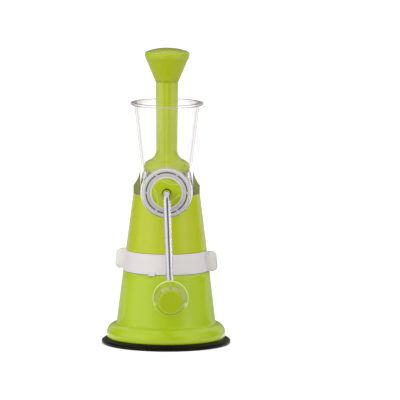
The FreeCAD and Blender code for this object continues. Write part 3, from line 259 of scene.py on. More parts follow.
AXIS_HEIGHT = 0.164
KNOB_ACROSS, KNOB_HEIGHT = 0.0045, 0.0566
RIM_INNER, RIM_OUTER = 17.8 * MM, 18.9 * MM
STEM_TOP = 0.274
MOUTH_RADIUS = 0.0049
HUB_FACE = -0.0515


def mould_line_with_highlight(sheet, axes, base):
    """The thin raised line where the two halves of the pusher's mould met, coloured paler
    along its length as a painted highlight.
    """
    x, y, z = axes
    line = 1 - sheet.between(abs(x), 0.1 * MM, 0.5 * MM)
    line = line * (1 - sheet.between(z, STEM_TOP - 0.2 * MM, STEM_TOP + 0.2 * MM))
    # The paler colour is a painted highlight; the height is the raised line itself.
    return sheet.blended(line * 0.6, base, screen(216, 224, 130)), line * 0.3


def knob_rim_painted_light(sheet, axes, base):
    """Painted light: the knob's thin back rim is coloured paler, for the bright line along its
    edge.
    """
    x, y, z = axes
    out = ((x - KNOB_ACROSS) ** 2 + (z - KNOB_HEIGHT) ** 2) ** 0.5
    inner_edge = sheet.between(out, RIM_INNER - 0.2 * MM, RIM_INNER + 0.2 * MM)
    outer_edge = sheet.between(out, RIM_OUTER - 0.1 * MM, RIM_OUTER + 0.1 * MM)
    rim = inner_edge - outer_edge
    # The pale rim colour is painted light; the small height raises the rim a little.
    return sheet.blended(rim * 0.9, base, screen(232, 240, 140)), rim * 0.2


def dark_mouth(sheet, axes, base):
    """The mouth round the rod is deep, so little light comes back out of it."""
    x, y, z = axes
    out = (x * x + (z - AXIS_HEIGHT) ** 2) ** 0.5
    mouth = 1 - sheet.between(out, MOUTH_RADIUS - 0.3 * MM, MOUTH_RADIUS)
    mouth = mouth * sheet.between(y, HUB_FACE, HUB_FACE + 0.7 * MM)
    return sheet.blended(mouth * 0.95, base, screen(18, 20, 8)), mouth * 0.1


lime_cone = moulded("Glossy lime cone", screen(186, 199, 18), screen(178, 191, 6), gloss=0.2)
lime_foot = moulded("Glossy lime foot", screen(178, 203, 14), screen(170, 195, 4), gloss=0.2)
lime_pusher = moulded(
    "Glossy lime pusher", screen(174, 189, 8), screen(166, 181, 2), mould_line_with_highlight, ripple=0.000003
)
lime_knob = moulded(
    "Glossy lime knob", screen(166, 186, 0), screen(158, 178, 0), knob_rim_painted_light, 0.2, 0.000001
)
lime_hub = moulded("Glossy lime hub", screen(180, 199, 0), screen(168, 188, 0), dark_mouth)
# The ridges are paler than the hub: a painted highlight along the cut edges they stand in.
lime_ridge_highlight = moulded("Lime ridge with painted highlight", screen(208, 226, 96), screen(196, 216, 60))
print("Plastics:", lime_cone.name, lime_foot.name, lime_pusher.name, lime_knob.name)

# %% [markdown]
# ## The satin plastics
# The lock ring is warm white and softer in its gloss, and its two ears are thinner, so
# they look a little creamier where light passes through them. The wings are olive, with
# the fine eroded texture that mould makers give to dark trim.

# %% White ring and olive wings
SEAM_HEIGHT = 0.158


def ring_white():
    finish, sheet, place, (x, y, z) = finish_sheet("Satin white ring")
    out = (x * x + y * y) ** 0.5
    ear = sheet.between(out, 45.5 * MM, 50 * MM)
    tone = sheet.between(cloud(sheet, place, 45, stretch=(1, 1, 0.3)), 0.3, 0.7)
    white = sheet.blended(tone * 0.5, screen(226, 221, 221), screen(219, 213, 212))
    base = sheet.blended(ear * 0.8, white, screen(230, 226, 219))
    scuff = sheet.between(cloud(sheet, place, 220, detail=5), 0.52, 0.72)
    peel = cloud(sheet, place, 420, detail=2)
    close(sheet, sheet.node("ShaderNodeBsdfPrincipled", (), {
        "Base Color": base, "Roughness": 0.34 + scuff * 0.12,
        "Normal": bumped(sheet, peel, 0.00003), "IOR": 1.48, "Coat Weight": 0.1,
    }))
    return finish


def wing_olive():
    finish, sheet, place, (x, y, z) = finish_sheet("Satin olive wings")
    tone = sheet.between(cloud(sheet, place, 60), 0.3, 0.7)
    # Painted shade: the wings are darker towards the bottom, at the seam with the cone.
    low = 1 - sheet.between(z, SEAM_HEIGHT, SEAM_HEIGHT + 14 * MM)
    base = sheet.blended(tone * 0.5, screen(131, 139, 50), screen(120, 129, 42))
    base = sheet.blended(low * 0.35, base, screen(94, 104, 38))
    spark = cloud(sheet, place, 2200, detail=3)
    close(sheet, sheet.node("ShaderNodeBsdfPrincipled", (), {
        "Base Color": base, "Roughness": 0.38 + spark * 0.1,
        "Normal": bumped(sheet, spark, 0.00004), "IOR": 1.5,
    }))
    return finish


white_band = ring_white()
olive_wings = wing_olive()
print("Satin plastics:", white_band.name, "and", olive_wings.name)

# %% [markdown]
# ## Rubber, silicone and nylon
# The suction pad is black rubber: almost no colour, a broad soft gloss, and a dusting
# that greys it in spots. The seals are milky silicone, and the cam sleeve is bare nylon.

# %% Soft and bare plastics
def rubbery(name, colour, dusty, rough, grain_scale, grain_height):
    finish, sheet, place, _ = finish_sheet(name)
    dust = sheet.between(cloud(sheet, place, 130, detail=6), 0.5, 0.8)
    grain = cloud(sheet, place, grain_scale, detail=3)
    close(sheet, sheet.node("ShaderNodeBsdfPrincipled", (), {
        "Base Color": sheet.blended(dust * 0.5, colour, dusty),
        "Roughness": rough + dust * 0.15,
        "Normal": bumped(sheet, grain, grain_height), "Specular IOR Level": 0.12,
    }))
    return finish


black_rubber = rubbery(
    "Black pad rubber", screen(13, 8, 7), screen(24, 19, 18), 0.34, 1200, 0.00003
)
silicone = rubbery(
    "Milky silicone", screen(214, 214, 210), screen(200, 200, 196), 0.45, 700, 0.00002
)
nylon = rubbery(
    "Bare nylon", screen(222, 220, 212), screen(208, 204, 194), 0.42, 500, 0.00003
)
print("Soft plastics:", black_rubber.name, silicone.name, nylon.name)

# %% [markdown]
# ## Steel
# The crank rod is polished along its length, which leaves lines finer than a hair. They
# run with the rod, so the noise is stretched along it. The hidden bars, pins and screws
# are plain turned steel, duller and with coarser marks.

# %% Polished rod and plain steel
def steel(name, colour, rough, lines, line_height, stretch):
    finish, sheet, place, _ = finish_sheet(name)
    marks = cloud(sheet, place, lines, detail=3, stretch=stretch)
    smear = sheet.between(cloud(sheet, place, 70, detail=4), 0.45, 0.75)
    darker = tuple(0.82 * part for part in colour[:3]) + (1.0,)
    close(sheet, sheet.node("ShaderNodeBsdfPrincipled", (), {
        "Base Color": sheet.blended(marks * 0.35, colour, darker),
        "Roughness": rough + marks * 0.06 + smear * 0.05,
        "Normal": bumped(sheet, marks, line_height), "Metallic": 1.0,
    }))
    return finish


rod_steel = steel(
    "Polished rod steel", screen(234, 231, 239), 0.12, 2500, 0.000001, (1, 1, 0.02)
)
plain_steel = steel("Plain steel", screen(200, 200, 202), 0.26, 900, 0.00001, (1, 1, 1))
sieve_steel = steel("Sieve steel", screen(206, 206, 208), 0.22, 1400, 0.00001, (1, 0.05, 1))
print("Steels:", rod_steel.name, plain_steel.name, sieve_steel.name)

# %% [markdown]
# ## Clear plastic
# The hopper's cup is a thin clear wall. Seen flat it is almost nothing, and seen edge on
# it turns pink grey, so the share of plastic that shows follows the angle. The barrel
# under it is thick enough to bend light, so it is solid clear plastic. Both are one
# moulding, so one finish holds both and passes from one to the other by height.

# %% Solid and thin clear plastic
def solid_clear(sheet, place, base, milk):
    """Thick clear plastic, with milk as the share that scatters light."""
    haze = sheet.between(cloud(sheet, place, 90, detail=5), 0.4, 0.8)
    grain = cloud(sheet, place, 300, detail=3)
    return sheet.node("ShaderNodeBsdfPrincipled", (), {
        "Base Color": base, "Roughness": 0.04 + haze * 0.06 + milk * 0.05,
        "Normal": bumped(sheet, grain, 0.000015),
        "IOR": 1.47, "Transmission Weight": 1.0 - milk,
    })


def clear_housing(cup_floor, lip_low, sleeve_front):
    """Thin clear plastic over cup_floor, and solid clear plastic under it."""
    finish, sheet, place, (x, y, z) = finish_sheet("Clear hopper plastic")
    facing = sheet.node("ShaderNodeLayerWeight", (), {"Blend": 0.5}, output=1)
    lip = sheet.between(z, lip_low, lip_low + MM)
    low = 1 - sheet.between(z, cup_floor + 7 * MM, cup_floor + 13 * MM)
    haze = sheet.between(cloud(sheet, place, 90, detail=5), 0.5, 0.8)
    swirls = cloud(sheet, place, 40, detail=0, stretch=(1, 1, 0.3))
    thin = sheet.node("ShaderNodeBsdfPrincipled", (), {
        "Base Color": sheet.blended(facing, screen(252, 250, 251), screen(176, 158, 166)),
        "Roughness": 0.04 + haze * 0.04,
        "Alpha": 0.015 + facing ** 4.2 * (0.56 - low * 0.44) + lip * facing * 0.5 + haze * 0.01
            + low * 0.03,
        "Normal": bumped(sheet, swirls, 0.00001), "IOR": 1.49,
    })
    base = sheet.blended(haze * 0.3, screen(250, 248, 249), screen(240, 237, 239))
    rim = 1 - sheet.between(y, sleeve_front + 1.2 * MM, sleeve_front + 3 * MM)
    base = sheet.blended(rim * 0.5, base, screen(186, 178, 180))
    solid = solid_clear(sheet, place, base, 0.04)
    cup = sheet.between(z, cup_floor - 2 * MM, cup_floor)
    close(sheet, sheet.node("ShaderNodeMixShader", (), {0: cup, 1: solid, 2: thin}))
    return finish


clear_wall = clear_housing(
    cup_floor=0.177, lip_low=0.2485, sleeve_front=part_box("hopper_housing")[0].y
)
print("Clear housing plastic:", clear_wall.name)

# %% [markdown]
# ## Milky collars
# The two collars and the juice cover are separate mouldings. The collars are thick and
# slightly milky, so they look pale grey. The front one has steps and six arc slots; their
# light and shade are painted into its colour as bands and dark dashes. Both follow the
# distance from the auger's axis.

# %% Collars and cover
SLOT_INNER, SLOT_OUTER = 20.6 * MM, 22 * MM
SLOT_FRONT, SLOT_BACK = -50.9 * MM, -47.4 * MM


def collar_bands_painted_light(sheet, axes):
    """The light and shade of the front collar's steps, painted into its colour. Each row has a
    distance from the axis in mm and the tone seen there: two pale bands, painted shade in the
    thin groove between them, a painted highlight along the rim, and a dark line next to it."""
    x, y, z = axes
    out = (x * x + (z - AXIS_HEIGHT) ** 2) ** 0.5
    span = 30
    tones = [(15.4, 226, 222, 222), (17.2, 224, 220, 220), (17.5, 182, 176, 172),
             (17.9, 184, 178, 174), (18.2, 208, 203, 204), (22.1, 206, 201, 203),
             (22.4, 216, 212, 217), (24.2, 214, 210, 214), (24.5, 240, 238, 240),
             (24.9, 240, 238, 240), (25.1, 172, 165, 164), (25.5, 214, 209, 211)]
    stops = [(mm / span, screen(*tone)) for mm, *tone in tones]
    return sheet.node("ShaderNodeValToRGB", {"stops": stops}, {0: out / (span * MM)})


def slot_depths(sheet, axes):
    """1 inside the front collar's six arc slots, where shade gathers."""
    x, y, z = axes
    out = (x * x + (z - AXIS_HEIGHT) ** 2) ** 0.5
    soft = 0.1 * MM
    ring = (sheet.between(out, SLOT_INNER - soft, SLOT_INNER + soft)
            - sheet.between(out, SLOT_OUTER - soft, SLOT_OUTER + soft))
    deep = (sheet.between(y, SLOT_FRONT, SLOT_FRONT + 3 * soft)
            - sheet.between(y, SLOT_BACK - 2 * soft, SLOT_BACK))
    return ring * deep * 0.9


def milky(name, milk, pale, grey, front=False):
    finish, sheet, place, axes = finish_sheet(name)
    haze = sheet.between(cloud(sheet, place, 70, detail=4), 0.4, 0.8)
    edge = sheet.node("ShaderNodeLayerWeight", (), {"Blend": 0.4}, output=1)
    base = sheet.blended(edge ** 2 * 0.7 + haze * 0.3, pale, grey)
    if front:
        # Painted light and shade of the steps, then painted shade in the slots.
        base = sheet.blended(haze * 0.1, collar_bands_painted_light(sheet, axes), grey)
        base = sheet.blended(slot_depths(sheet, axes), base, screen(66, 54, 34))
    close(sheet, solid_clear(sheet, place, base, milk))
    return finish


clear_cover = milky("Clear cover plastic", 0.06, screen(248, 246, 247), screen(206, 200, 204))
clear_ring = milky("Milky ring plastic", 0.55, screen(222, 217, 218), screen(208, 201, 203))
clear_front = milky(
    "Milky front collar", 0.7, screen(222, 217, 218), screen(200, 194, 196), front=True
)
print("Clear plastics:", clear_cover.name, clear_ring.name, clear_front.name)

# %% [markdown]
# ## From CAD facets to smooth skins
# The frame's meshes are loose triangles, which a glossy finish would show as facets. A
# copy is joined at its seams, and its normals are blended over curves and kept sharp at
# real edges. Weighing them by face area keeps large faces flat next to small roundings.

# %% The skin of a piece
dressed = {}


def skin(node, name, finish, crisp=30):
    """A smooth copy of a CAD node that takes its place."""
    mesh = nodes[node].data.copy()
    mesh.name = name
    shape = bmesh.new()
    shape.from_mesh(mesh)
    bmesh.ops.remove_doubles(shape, verts=shape.verts, dist=2e-6)
    shape.to_mesh(mesh)
    shape.free()
    mesh.shade_smooth()
    mesh.set_sharp_from_angle(angle=math.radians(crisp))
    mesh.materials.clear()
    mesh.materials.append(finish)
    piece = bpy.data.objects.new(name, mesh)
    bpy.context.scene.collection.objects.link(piece)
    weigh = piece.modifiers.new("Even normals", "WEIGHTED_NORMAL")
    weigh.keep_sharp = True
    weigh.weight = 80
    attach(piece, nodes[node]["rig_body"])
    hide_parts(node)
    dressed[node] = piece
    return piece


def seen_through(piece):
    """Leaves a clear piece out of shadows and of soft bounced light."""
    piece.visible_shadow = False
    piece.visible_diffuse = False


print("skin() is ready")

# %% [markdown]
# ## The stand
# The foot, the two cones and the ring between them are turned shapes. They are one
# green apart from the white ring, so their gaps and roundings carry the look.

# %% Stand pieces
skin("suction_pad", "pad_skin", black_rubber)
skin("base", "foot_skin", lime_foot)
skin("upper_body", "cone_skin", lime_cone)
skin("lock_ring", "ring_skin", white_band)
skin("saddle_wings", "wings_skin", olive_wings)
print("Stand pieces:", ", ".join(sorted(dressed)))

# %% [markdown]
# ## The clear pieces
# The hopper and its barrel, the two collars, the juice cover and the nozzle can all be
# lifted off for washing, so each is its own piece. Light has to reach what is inside
# them, so clear pieces are left out of shadows and of soft bounced light.

# %% Hopper, collars, cover and nozzle
clear_pieces = {
    "hopper_housing": clear_wall, "juice_cover": clear_cover, "pulp_nozzle": clear_cover,
    "front_collar": clear_front, "rear_collar": clear_ring,
}
for node, finish in clear_pieces.items():
    seen_through(skin(node, node + "_skin", finish))
print("Clear pieces:", ", ".join(clear_pieces))

# %% [markdown]
# ## The crank line and the pusher
# The hub, the knob and the pusher are the pieces that a hand moves. They are moulded in
# the same glossy plastic as the stand. Their greens differ a little, each matched to the
# tone that piece shows under the studio light, so some of its light and shade is painted in.

# %% Hub, knob and pusher
skin("drive_hub", "hub_skin", lime_hub)
skin("knob", "knob_skin", lime_knob)
skin("knob_cap", "knob_cap_skin", lime_knob)
skin("pusher_stem", "stem_skin", lime_pusher)
skin("pusher_cap", "palm_cap_skin", lime_pusher)
print("Dressed so far:", len(dressed))

# %% [markdown]
# ## Shapes that follow a rule
# A ridge that repeats, a bent bar and a wound screw each follow a rule, so a Geometry
# Nodes tree draws them. Its sizes are named inputs, which stay open to change until the
# tree is run once and its result is kept as a plain mesh.

# %% A maker of shapes
def geometry_sheet(name, inputs):
    """A Geometry Nodes sheet with named inputs; returns the sheet and their wires."""
    tree = bpy.data.node_groups.new(name, "GeometryNodeTree")
    sheet = Sheet(tree)
    for label, kind in inputs.items():
        tree.interface.new_socket(name=label, in_out="INPUT", socket_type="NodeSocket" + kind)
    tree.interface.new_socket(
        name="Geometry", in_out="OUTPUT", socket_type="NodeSocketGeometry"
    )
    entry = tree.nodes.new("NodeGroupInput")
    return sheet, {label: Wire(sheet, entry.outputs[label]) for label in inputs}


def end_with(sheet, shape, finish):
    """Realizes the copies, sets their finish and ends the tree."""
    shape = sheet.node("GeometryNodeRealizeInstances", (), {0: shape})
    shape = sheet.node("GeometryNodeSetMaterial", (), {"Geometry": shape, "Material": finish})
    sheet.node("NodeGroupOutput", (), {0: shape})


def grown(name, sheet, sizes, body):
    """Runs the tree once and keeps its result as a plain mesh on a body."""
    holder = bpy.data.objects.new(name + "_seed", bpy.data.meshes.new(name + "_seed"))
    bpy.context.scene.collection.objects.link(holder)
    maker = holder.modifiers.new("Maker", "NODES")
    maker.node_group = sheet.tree
    for item in sheet.tree.interface.items_tree:
        if item.in_out == "INPUT":
            maker[item.identifier] = sizes[item.name]
    bpy.context.view_layer.update()
    seen = holder.evaluated_get(bpy.context.evaluated_depsgraph_get())
    mesh = bpy.data.meshes.new_from_object(seen)
    mesh.name = name
    bpy.data.objects.remove(holder)
    piece = bpy.data.objects.new(name, mesh)
    bpy.context.scene.collection.objects.link(piece)
    mesh.shade_smooth()
    mesh.set_sharp_from_angle(angle=math.radians(40))
    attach(piece, body)
    low = [round(min(v.co[i] for v in mesh.vertices) / MM, 2) for i in range(3)]
    high = [round(max(v.co[i] for v in mesh.vertices) / MM, 2) for i in range(3)]
    print(name, "has", len(mesh.polygons), "faces and spans", low, "to", high)
    return piece


def section_along(sheet, path, section):
    """Sweeps a closed section along a path and closes both ends."""
    return sheet.node("GeometryNodeCurveToMesh", (), {
        "Curve": path, "Profile Curve": section, "Fill Caps": True,
    })


def moved(sheet, shape, shift=(0, 0, 0), turn=(0, 0, 0)):
    """Turns a shape about the origin and then shifts it."""
    return sheet.node("GeometryNodeTransform", (), {
        "Geometry": shape, "Translation": shift, "Rotation": turn,
    })


REST_LEAN = math.radians(2.4)
print("The crank leans at rest by", round(math.degrees(REST_LEAN), 1), "degrees")

# %% [markdown]
# ## Ridges on the hub
# Three thin curved ridges cross the hub's face, each the same arc turned by a third.
# The tree draws one arc, gives it a round section, and repeats it. Each ridge stands in
# one of the cuts of the hub's face, and is coloured a paler lime as a painted highlight,
# the bright line that the cut's edge catches.

# %% Swirl ridges
HUB_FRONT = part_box("drive_hub")[0].y
HUB_RADIUS = (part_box("drive_hub")[1].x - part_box("drive_hub")[0].x) / 2


def swirl_ridges():
    sheet, size = geometry_sheet("Swirl ridges", {
        "Count": "Int", "Arc radius": "Float", "Reach": "Float", "Half sweep": "Float",
        "Thickness": "Float", "First turn": "Float",
    })
    arc = sheet.node("GeometryNodeCurveArc", {"mode": "RADIUS"}, {
        "Resolution": 24, "Radius": size["Arc radius"],
        "Start Angle": math.pi - size["Half sweep"], "Sweep Angle": size["Half sweep"] * 2,
    })
    arc = moved(sheet, arc, sheet.spot(size["Arc radius"] + size["Reach"]))
    section = sheet.node(
        "GeometryNodeCurvePrimitiveCircle", (), {"Resolution": 10, "Radius": size["Thickness"]}
    )
    spots = sheet.node("GeometryNodePoints", (), {"Count": size["Count"]})
    step = sheet.node("GeometryNodeInputIndex") * (2 * math.pi) / size["Count"]
    spin = sheet.spot(z=step + size["First turn"])
    copies = sheet.node("GeometryNodeInstanceOnPoints", (), {
        "Points": spots, "Instance": section_along(sheet, arc, section),
        "Rotation": sheet.node("FunctionNodeEulerToRotation", (), {0: spin}),
    })
    end_with(sheet, moved(
        sheet, copies, (0, HUB_FRONT + 0.1 * MM, AXIS_HEIGHT), (math.pi / 2, 0, 0)
    ), lime_ridge_highlight)
    return sheet


arc_radius, reach = 26.5 * MM, 10 * MM
centre = arc_radius + reach
edge = HUB_RADIUS - 0.8 * MM
half_sweep = math.acos(
    (centre ** 2 + arc_radius ** 2 - edge ** 2) / (2 * centre * arc_radius)
)
grown("hub_ridges", swirl_ridges(), {
    "Count": 3, "Arc radius": arc_radius, "Reach": reach, "Half sweep": half_sweep,
    "Thickness": 0.42 * MM, "First turn": math.radians(72.8) + REST_LEAN,
}, "crank")

# %% [markdown]
# ## The crank rod
# The rod is one length of round bar, bent twice round a former. The tree does the same:
# four points give the route, a fillet bends its corners, and a circle runs along it.

# %% Bent rod
def bent_rod():
    sheet, size = geometry_sheet("Bent rod", {
        "Start": "Float", "Arm plane": "Float", "End": "Float", "Arm length": "Float",
        "Bend radius": "Float", "Rod radius": "Float", "Lean": "Float",
    })
    index = sheet.node("GeometryNodeInputIndex")
    y = size["Start"] + (size["Arm plane"] - size["Start"]) * (index > 0.5)
    y = y + (size["End"] - size["Arm plane"]) * (index > 2.5)
    place = sheet.spot(y=y, z=(index > 1.5) * size["Arm length"] * -1)
    corners = sheet.node("GeometryNodePoints", (), {"Count": 4, "Position": place})
    route = sheet.node("GeometryNodePointsToCurves", (), {0: corners})
    route = sheet.node("GeometryNodeFilletCurve", {"mode": "POLY"}, {
        "Curve": route, "Count": 14, "Radius": size["Bend radius"], "Limit Radius": True,
    })
    section = sheet.node("GeometryNodeCurvePrimitiveCircle", (), {
        "Resolution": 40, "Radius": size["Rod radius"],
    })
    rod = section_along(sheet, route, section)
    end_with(sheet, moved(
        sheet, rod, (0, 0, AXIS_HEIGHT), sheet.spot(y=size["Lean"] * -1)
    ), rod_steel)
    return sheet


ROD_LOW, ROD_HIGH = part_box("crank_rod")
rod = grown("crank_rod_bar", bent_rod(), {
    "Start": ROD_HIGH.y, "Arm plane": -62 * MM, "End": ROD_LOW.y,
    "Arm length": 107.5 * MM, "Bend radius": 7 * MM, "Rod radius": 4 * MM,
    "Lean": REST_LEAN,
}, "crank")
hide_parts("crank_rod")

# %% [markdown]
# ## The auger
# The auger is a core with one flight that winds round it four times and pushes the
# grass back. A section that narrows to its edge is swept along a spiral, which is how
# the flight grows out of its core in the mould. The flight's root is sunk half a
# millimetre into the core, and the core narrows with the strainer.

# %% Auger with its flight
ROOT_SUNK = 0.5 * MM


def wound_auger():
    sheet, size = geometry_sheet("Wound auger", {
        "Turns": "Float", "Pitch": "Float", "Core radius": "Float", "Flight radius": "Float",
        "Root width": "Float", "Edge width": "Float", "Front": "Float",
        "Straight end": "Float", "Tip": "Float", "Tip radius": "Float", "Lean": "Float",
    })
    middle = (size["Core radius"] + size["Flight radius"]) / 2 - ROOT_SUNK / 2
    spiral = sheet.node("GeometryNodeCurveSpiral", (), {
        "Resolution": 56, "Rotations": size["Turns"], "Start Radius": middle,
        "End Radius": middle, "Height": size["Turns"] * size["Pitch"], "Reverse": True,
    })
    spiral = sheet.node("GeometryNodeSetCurveNormal", {"mode": "Z_UP"}, {"Curve": spiral})
    section = sheet.node("GeometryNodeCurvePrimitiveQuadrilateral", {"mode": "TRAPEZOID"}, {
        "Height": size["Flight radius"] - size["Core radius"] + ROOT_SUNK,
        "Bottom Width": size["Root width"], "Top Width": size["Edge width"], "Offset": 0.0,
    })
    section = sheet.node("GeometryNodeFilletCurve", {"mode": "POLY"}, {
        "Curve": section, "Count": 3, "Radius": 0.4 * MM, "Limit Radius": True,
    })
    section = moved(sheet, section, turn=(0, 0, -math.pi / 2))
    flight = section_along(sheet, spiral, section)
    flight = moved(sheet, flight, sheet.spot(z=size["Front"] + size["Root width"] / 2),
                   (0, 0, -math.pi / 2))
    long = size["Straight end"] - size["Front"]
    core = sheet.node("GeometryNodeMeshCylinder", (), {
        "Vertices": 56, "Radius": size["Core radius"], "Depth": long,
    })
    core = moved(sheet, core, sheet.spot(z=size["Front"] + long / 2))
    tip = sheet.node("GeometryNodeMeshCone", (), {
        "Vertices": 56, "Radius Top": size["Tip radius"],
        "Radius Bottom": size["Core radius"], "Depth": size["Tip"] - size["Straight end"],
    })
    tip = moved(sheet, tip, sheet.spot(z=size["Straight end"]))
    join = sheet.node("GeometryNodeJoinGeometry", (), {0: flight})
    for part in (core, tip):
        sheet.tree.links.new(part.socket, join.socket.node.inputs[0])
    whole = moved(sheet, join, turn=sheet.spot(z=size["Lean"] * -1))
    end_with(sheet, moved(
        sheet, whole, (0, 0, AXIS_HEIGHT), (-math.pi / 2, 0, 0)
    ), lime_hub)
    return sheet


AUGER_LOW, AUGER_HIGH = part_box("auger")
auger = grown("auger_wound", wound_auger(), {
    "Turns": 4.0, "Pitch": 17 * MM, "Core radius": 8.6 * MM, "Flight radius": 15.3 * MM,
    "Root width": 4.4 * MM, "Edge width": 1.8 * MM, "Front": AUGER_LOW.y,
    "Straight end": 46.05 * MM, "Tip": AUGER_HIGH.y, "Tip radius": 5.6 * MM,
    "Lean": REST_LEAN,
}, "crank")
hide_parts("auger")

# %% [markdown]
# ## The pieces inside
# Shaft, pins, sieve, seals and the suction foot's lifting gear are plain turned, pressed
# or moulded parts. They keep their CAD shapes, and only take a finish.

# %% Inner pieces
inner = {
    "auger_shaft": plain_steel, "drive_pin": plain_steel,
    "knob_clip": plain_steel, "strainer": sieve_steel, "pull_stud": plain_steel,
    "lift_bar": plain_steel, "stud_washer": plain_steel, "stud_nut": plain_steel,
    "body_screws": plain_steel, "cam_sleeve": nylon, "shaft_seal": silicone,
    "cover_seal": silicone,
}
for node, finish in inner.items():
    nodes[node].data.materials.clear()
    nodes[node].data.materials.append(finish)
print("Inner pieces:", len(inner))

# %% [markdown]
# ## The floor
# The photo is a studio picture, white all round. The floor is a plain pale disc that
# looks white to the camera, through clear plastic and in gloss, and that still takes
# the shadow.

# %% White floor
def floor_finish():
    finish, sheet, place, _ = finish_sheet("White floor")
    path = sheet.node("ShaderNodeLightPath")
    outputs = path.socket.node.outputs
    seen = Wire(sheet, outputs["Is Camera Ray"])
    through = Wire(sheet, outputs["Is Transmission Ray"])
    gloss = Wire(sheet, outputs["Is Glossy Ray"])
    shown = sheet.maths("MAXIMUM", seen, sheet.maths("MAXIMUM", through, gloss))
    mottle = cloud(sheet, place, 12, detail=4)
    base = sheet.blended(mottle, screen(232, 231, 231), screen(228, 227, 227))
    close(sheet, sheet.node("ShaderNodeBsdfPrincipled", (), {
        "Base Color": base, "Roughness": 0.9, "Specular IOR Level": 0.0,
        "Emission Color": sheet.blended(shown, screen(0, 0, 0), screen(255, 255, 255)),
        "Emission Strength": 0.5,
    }))
    return finish


def floor_disc(radius, rings, sides, drop):
    """A round floor in rings of quads, which lies the drop below the foot."""
    mesh = bpy.data.meshes.new("floor")
    shape = bmesh.new()
    loops = []
    for ring in range(1, rings + 1):
        reach = radius * ring / rings
        loops.append([
            shape.verts.new((reach * math.cos(2 * math.pi * i / sides),
                             reach * math.sin(2 * math.pi * i / sides), -drop))
            for i in range(sides)
        ])
    shape.faces.new(loops[0])
    for low, high in zip(loops, loops[1:]):
        for i in range(sides):
            j = (i + 1) % sides
            shape.faces.new((low[i], high[i], high[j], low[j]))
    shape.to_mesh(mesh)
    shape.free()
    piece = bpy.data.objects.new("floor", mesh)
    bpy.context.scene.collection.objects.link(piece)
    return piece


floor = floor_disc(radius=9.0, rings=3, sides=96, drop=0.2 * MM)
floor.data.materials.append(floor_finish())
print("Floor across, m:", round(floor.dimensions.x, 2))

# %% [markdown]
# ## Studio light
# Two tall soft boxes stand in front at the left and the right, the left one brighter,
# and a third hangs above. White walls fill in from all sides, which is the world's light.

# %% Lamps and white walls
JUICER_MIDDLE = Vector((0, 0, 0.15))


def world_light(soft):
    """White to the camera and through clear plastic, and soft for all other light."""
    world = bpy.data.worlds.new("White studio")
    bpy.context.scene.world = world
    world.use_nodes = True
    sheet = Sheet(world.node_tree)
    path = sheet.node("ShaderNodeLightPath")
    outputs = path.socket.node.outputs
    seen = Wire(sheet, outputs["Is Camera Ray"])
    through = Wire(sheet, outputs["Is Transmission Ray"])
    shown = sheet.maths("MAXIMUM", seen, through)
    tone = sheet.blended(shown, (soft, soft, soft, 1.0), (1.0, 1.0, 1.0, 1.0))
    light = sheet.node("ShaderNodeBackground", (), {"Color": tone, "Strength": 1.0})
    sheet.node("ShaderNodeOutputWorld", (), {"Surface": light})


def soft_box(name, azimuth, height, distance, across, tall, level):
    """A tall soft box that shines at the juicer; level is its brightness on screen."""
    lamp = bpy.data.lights.new(name, "AREA")
    lamp.shape = "RECTANGLE"
    lamp.size, lamp.size_y = across, tall
    lamp.energy = level * math.pi * across * tall
    piece = bpy.data.objects.new(name, lamp)
    piece.visible_glossy = False
    bpy.context.scene.collection.objects.link(piece)
    turn = math.radians(azimuth)
    piece.location = (distance * math.sin(turn), -distance * math.cos(turn), height)
    aim = JUICER_MIDDLE - piece.location
    piece.rotation_euler = aim.to_track_quat("-Z", "Y").to_euler()
    return piece


world_light(soft=0.76)
soft_box("left_box", -48, height=0.5, distance=1.6, across=0.9, tall=1.5, level=2.3)
soft_box("right_box", 62, height=0.5, distance=1.6, across=0.7, tall=1.5, level=1.4)
soft_box("top_box", 10, height=1.9, distance=0.5, across=1.0, tall=0.8, level=1.2)

# %% [markdown]
# ## What the gloss mirrors
# Glossy plastic and steel mirror the studio: a bright band for each soft box, and a dark
# strip between them where the camera stands. The bands on the cone and the dark line
# down the rod come from these. Cards stand round the juicer for gloss alone: a wall,
# and three rings of the table, because upright and leaning faces mirror different ones.

# %% Cards that only gloss sees
def studio_card(name, path, levels, peak=1.0):
    """A strip swept round the juicer. path gives its distance and height corners, and
    levels gives pairs of degrees to the camera's right and the share of peak there."""
    mesh = bpy.data.meshes.new(name)
    shape = bmesh.new()
    first, last = levels[0][0], levels[-1][0]
    columns = []
    for turn in range(first, last + 1, 5):
        x, y = math.sin(math.radians(turn)), -math.cos(math.radians(turn))
        columns.append([shape.verts.new((x * out, y * out, z)) for out, z in path])
    for left, right in zip(columns, columns[1:]):
        for i in range(len(path) - 1):
            shape.faces.new((left[i], left[i + 1], right[i + 1], right[i]))
    shape.to_mesh(mesh)
    shape.free()
    finish, sheet, place, (x, y, z) = finish_sheet(name + " cloth")
    turn = sheet.maths("ARCTAN2", x, y * -1) * math.degrees(1)
    stops = [((at - first) / (last - first), (level, level, level, 1))
             for at, level in levels]
    share = (turn - first) / (last - first)
    tone = sheet.node("ShaderNodeValToRGB", {"stops": stops}, {0: share})
    close(sheet, sheet.node("ShaderNodeEmission", (), {"Color": tone, "Strength": peak}))
    mesh.materials.append(finish)
    piece = bpy.data.objects.new(name, mesh)
    bpy.context.scene.collection.objects.link(piece)
    piece.visible_camera = False
    piece.visible_diffuse = False
    piece.visible_shadow = False
    piece.visible_transmission = False
    return piece


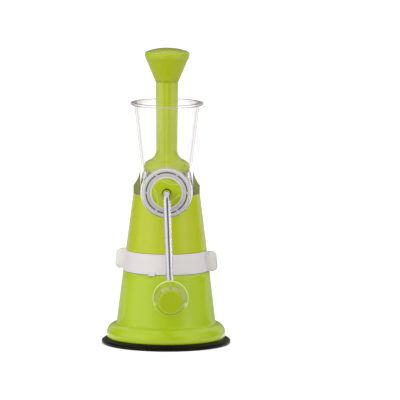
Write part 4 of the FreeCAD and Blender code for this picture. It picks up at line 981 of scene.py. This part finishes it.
studio_card("studio_wall", [(2.2, 0.001), (2.2, 1.7)], [
    (-180, 0.05), (-150, 0.5), (-128, 0.05), (-108, 0.1), (-94, 0.6), (-82, 1.1),
    (-50, 1.1), (-30, 0.65), (-12, 0.4), (4, 0.1), (30, 0.08), (38, 0.5), (46, 1.0),
    (58, 1.0), (68, 0.5), (84, 0.45), (100, 0.03), (116, 0.05), (132, 0.7), (150, 0.5),
    (180, 0.05),
])
studio_card("table_far", [(1.75, 0.001), (2.2, 0.001)], [
    (-180, 0.1), (-140, 0.2), (-115, 0.9), (-60, 1.0), (-44, 0.2), (-36, 0.03),
    (36, 0.03), (44, 0.2), (60, 0.8), (115, 0.7), (140, 0.2), (180, 0.1),
], peak=4.0)
studio_card("table_middle", [(0.45, 0.001), (1.75, 0.001)], [
    (-180, 0.5), (-110, 0.5), (-80, 0.8), (-50, 1.0), (-12, 0.9), (-5, 0.1),
    (16, 0.08), (26, 0.7), (80, 0.9), (110, 0.5), (180, 0.5),
])
studio_card("table_near", [(0.15, 0.001), (0.45, 0.001)], [
    (-180, 0.4), (-60, 0.35), (-8, 0.1), (26, 0.08), (60, 0.35), (180, 0.4),
])

# %% [markdown]
# ## The camera
# The photo was taken with a long lens, a little from above. The camera stands far off
# and aims beside the juicer, which puts it left of the middle as in the photo.

# %% Camera
FRAME_PIXELS = 400
LENS_PIXELS = 7092
BESIDE_JUICER = Vector((0.0349, 0, 0.1505))
eye_level = 0.2
distance, tilt, roll = 7.4, math.radians(6.75), math.radians(0.25)
camera_data = bpy.data.cameras.new("Photo camera")
camera_data.sensor_width = 36
camera_data.lens = LENS_PIXELS * camera_data.sensor_width / FRAME_PIXELS
camera_data.clip_start, camera_data.clip_end = 0.5, 60
camera = bpy.data.objects.new("Photo camera", camera_data)
bpy.context.scene.collection.objects.link(camera)
camera.location = (0, -distance * math.cos(tilt), eye_level + distance * math.sin(tilt))
look = (BESIDE_JUICER - camera.location).to_track_quat("-Z", "Y")
camera.rotation_mode = "QUATERNION"
camera.rotation_quaternion = look @ Matrix.Rotation(roll, 3, "Z").to_quaternion()
bpy.context.scene.camera = camera
bpy.context.scene.view_settings.view_transform = "Standard"
print("Lens, mm:", round(camera_data.lens))
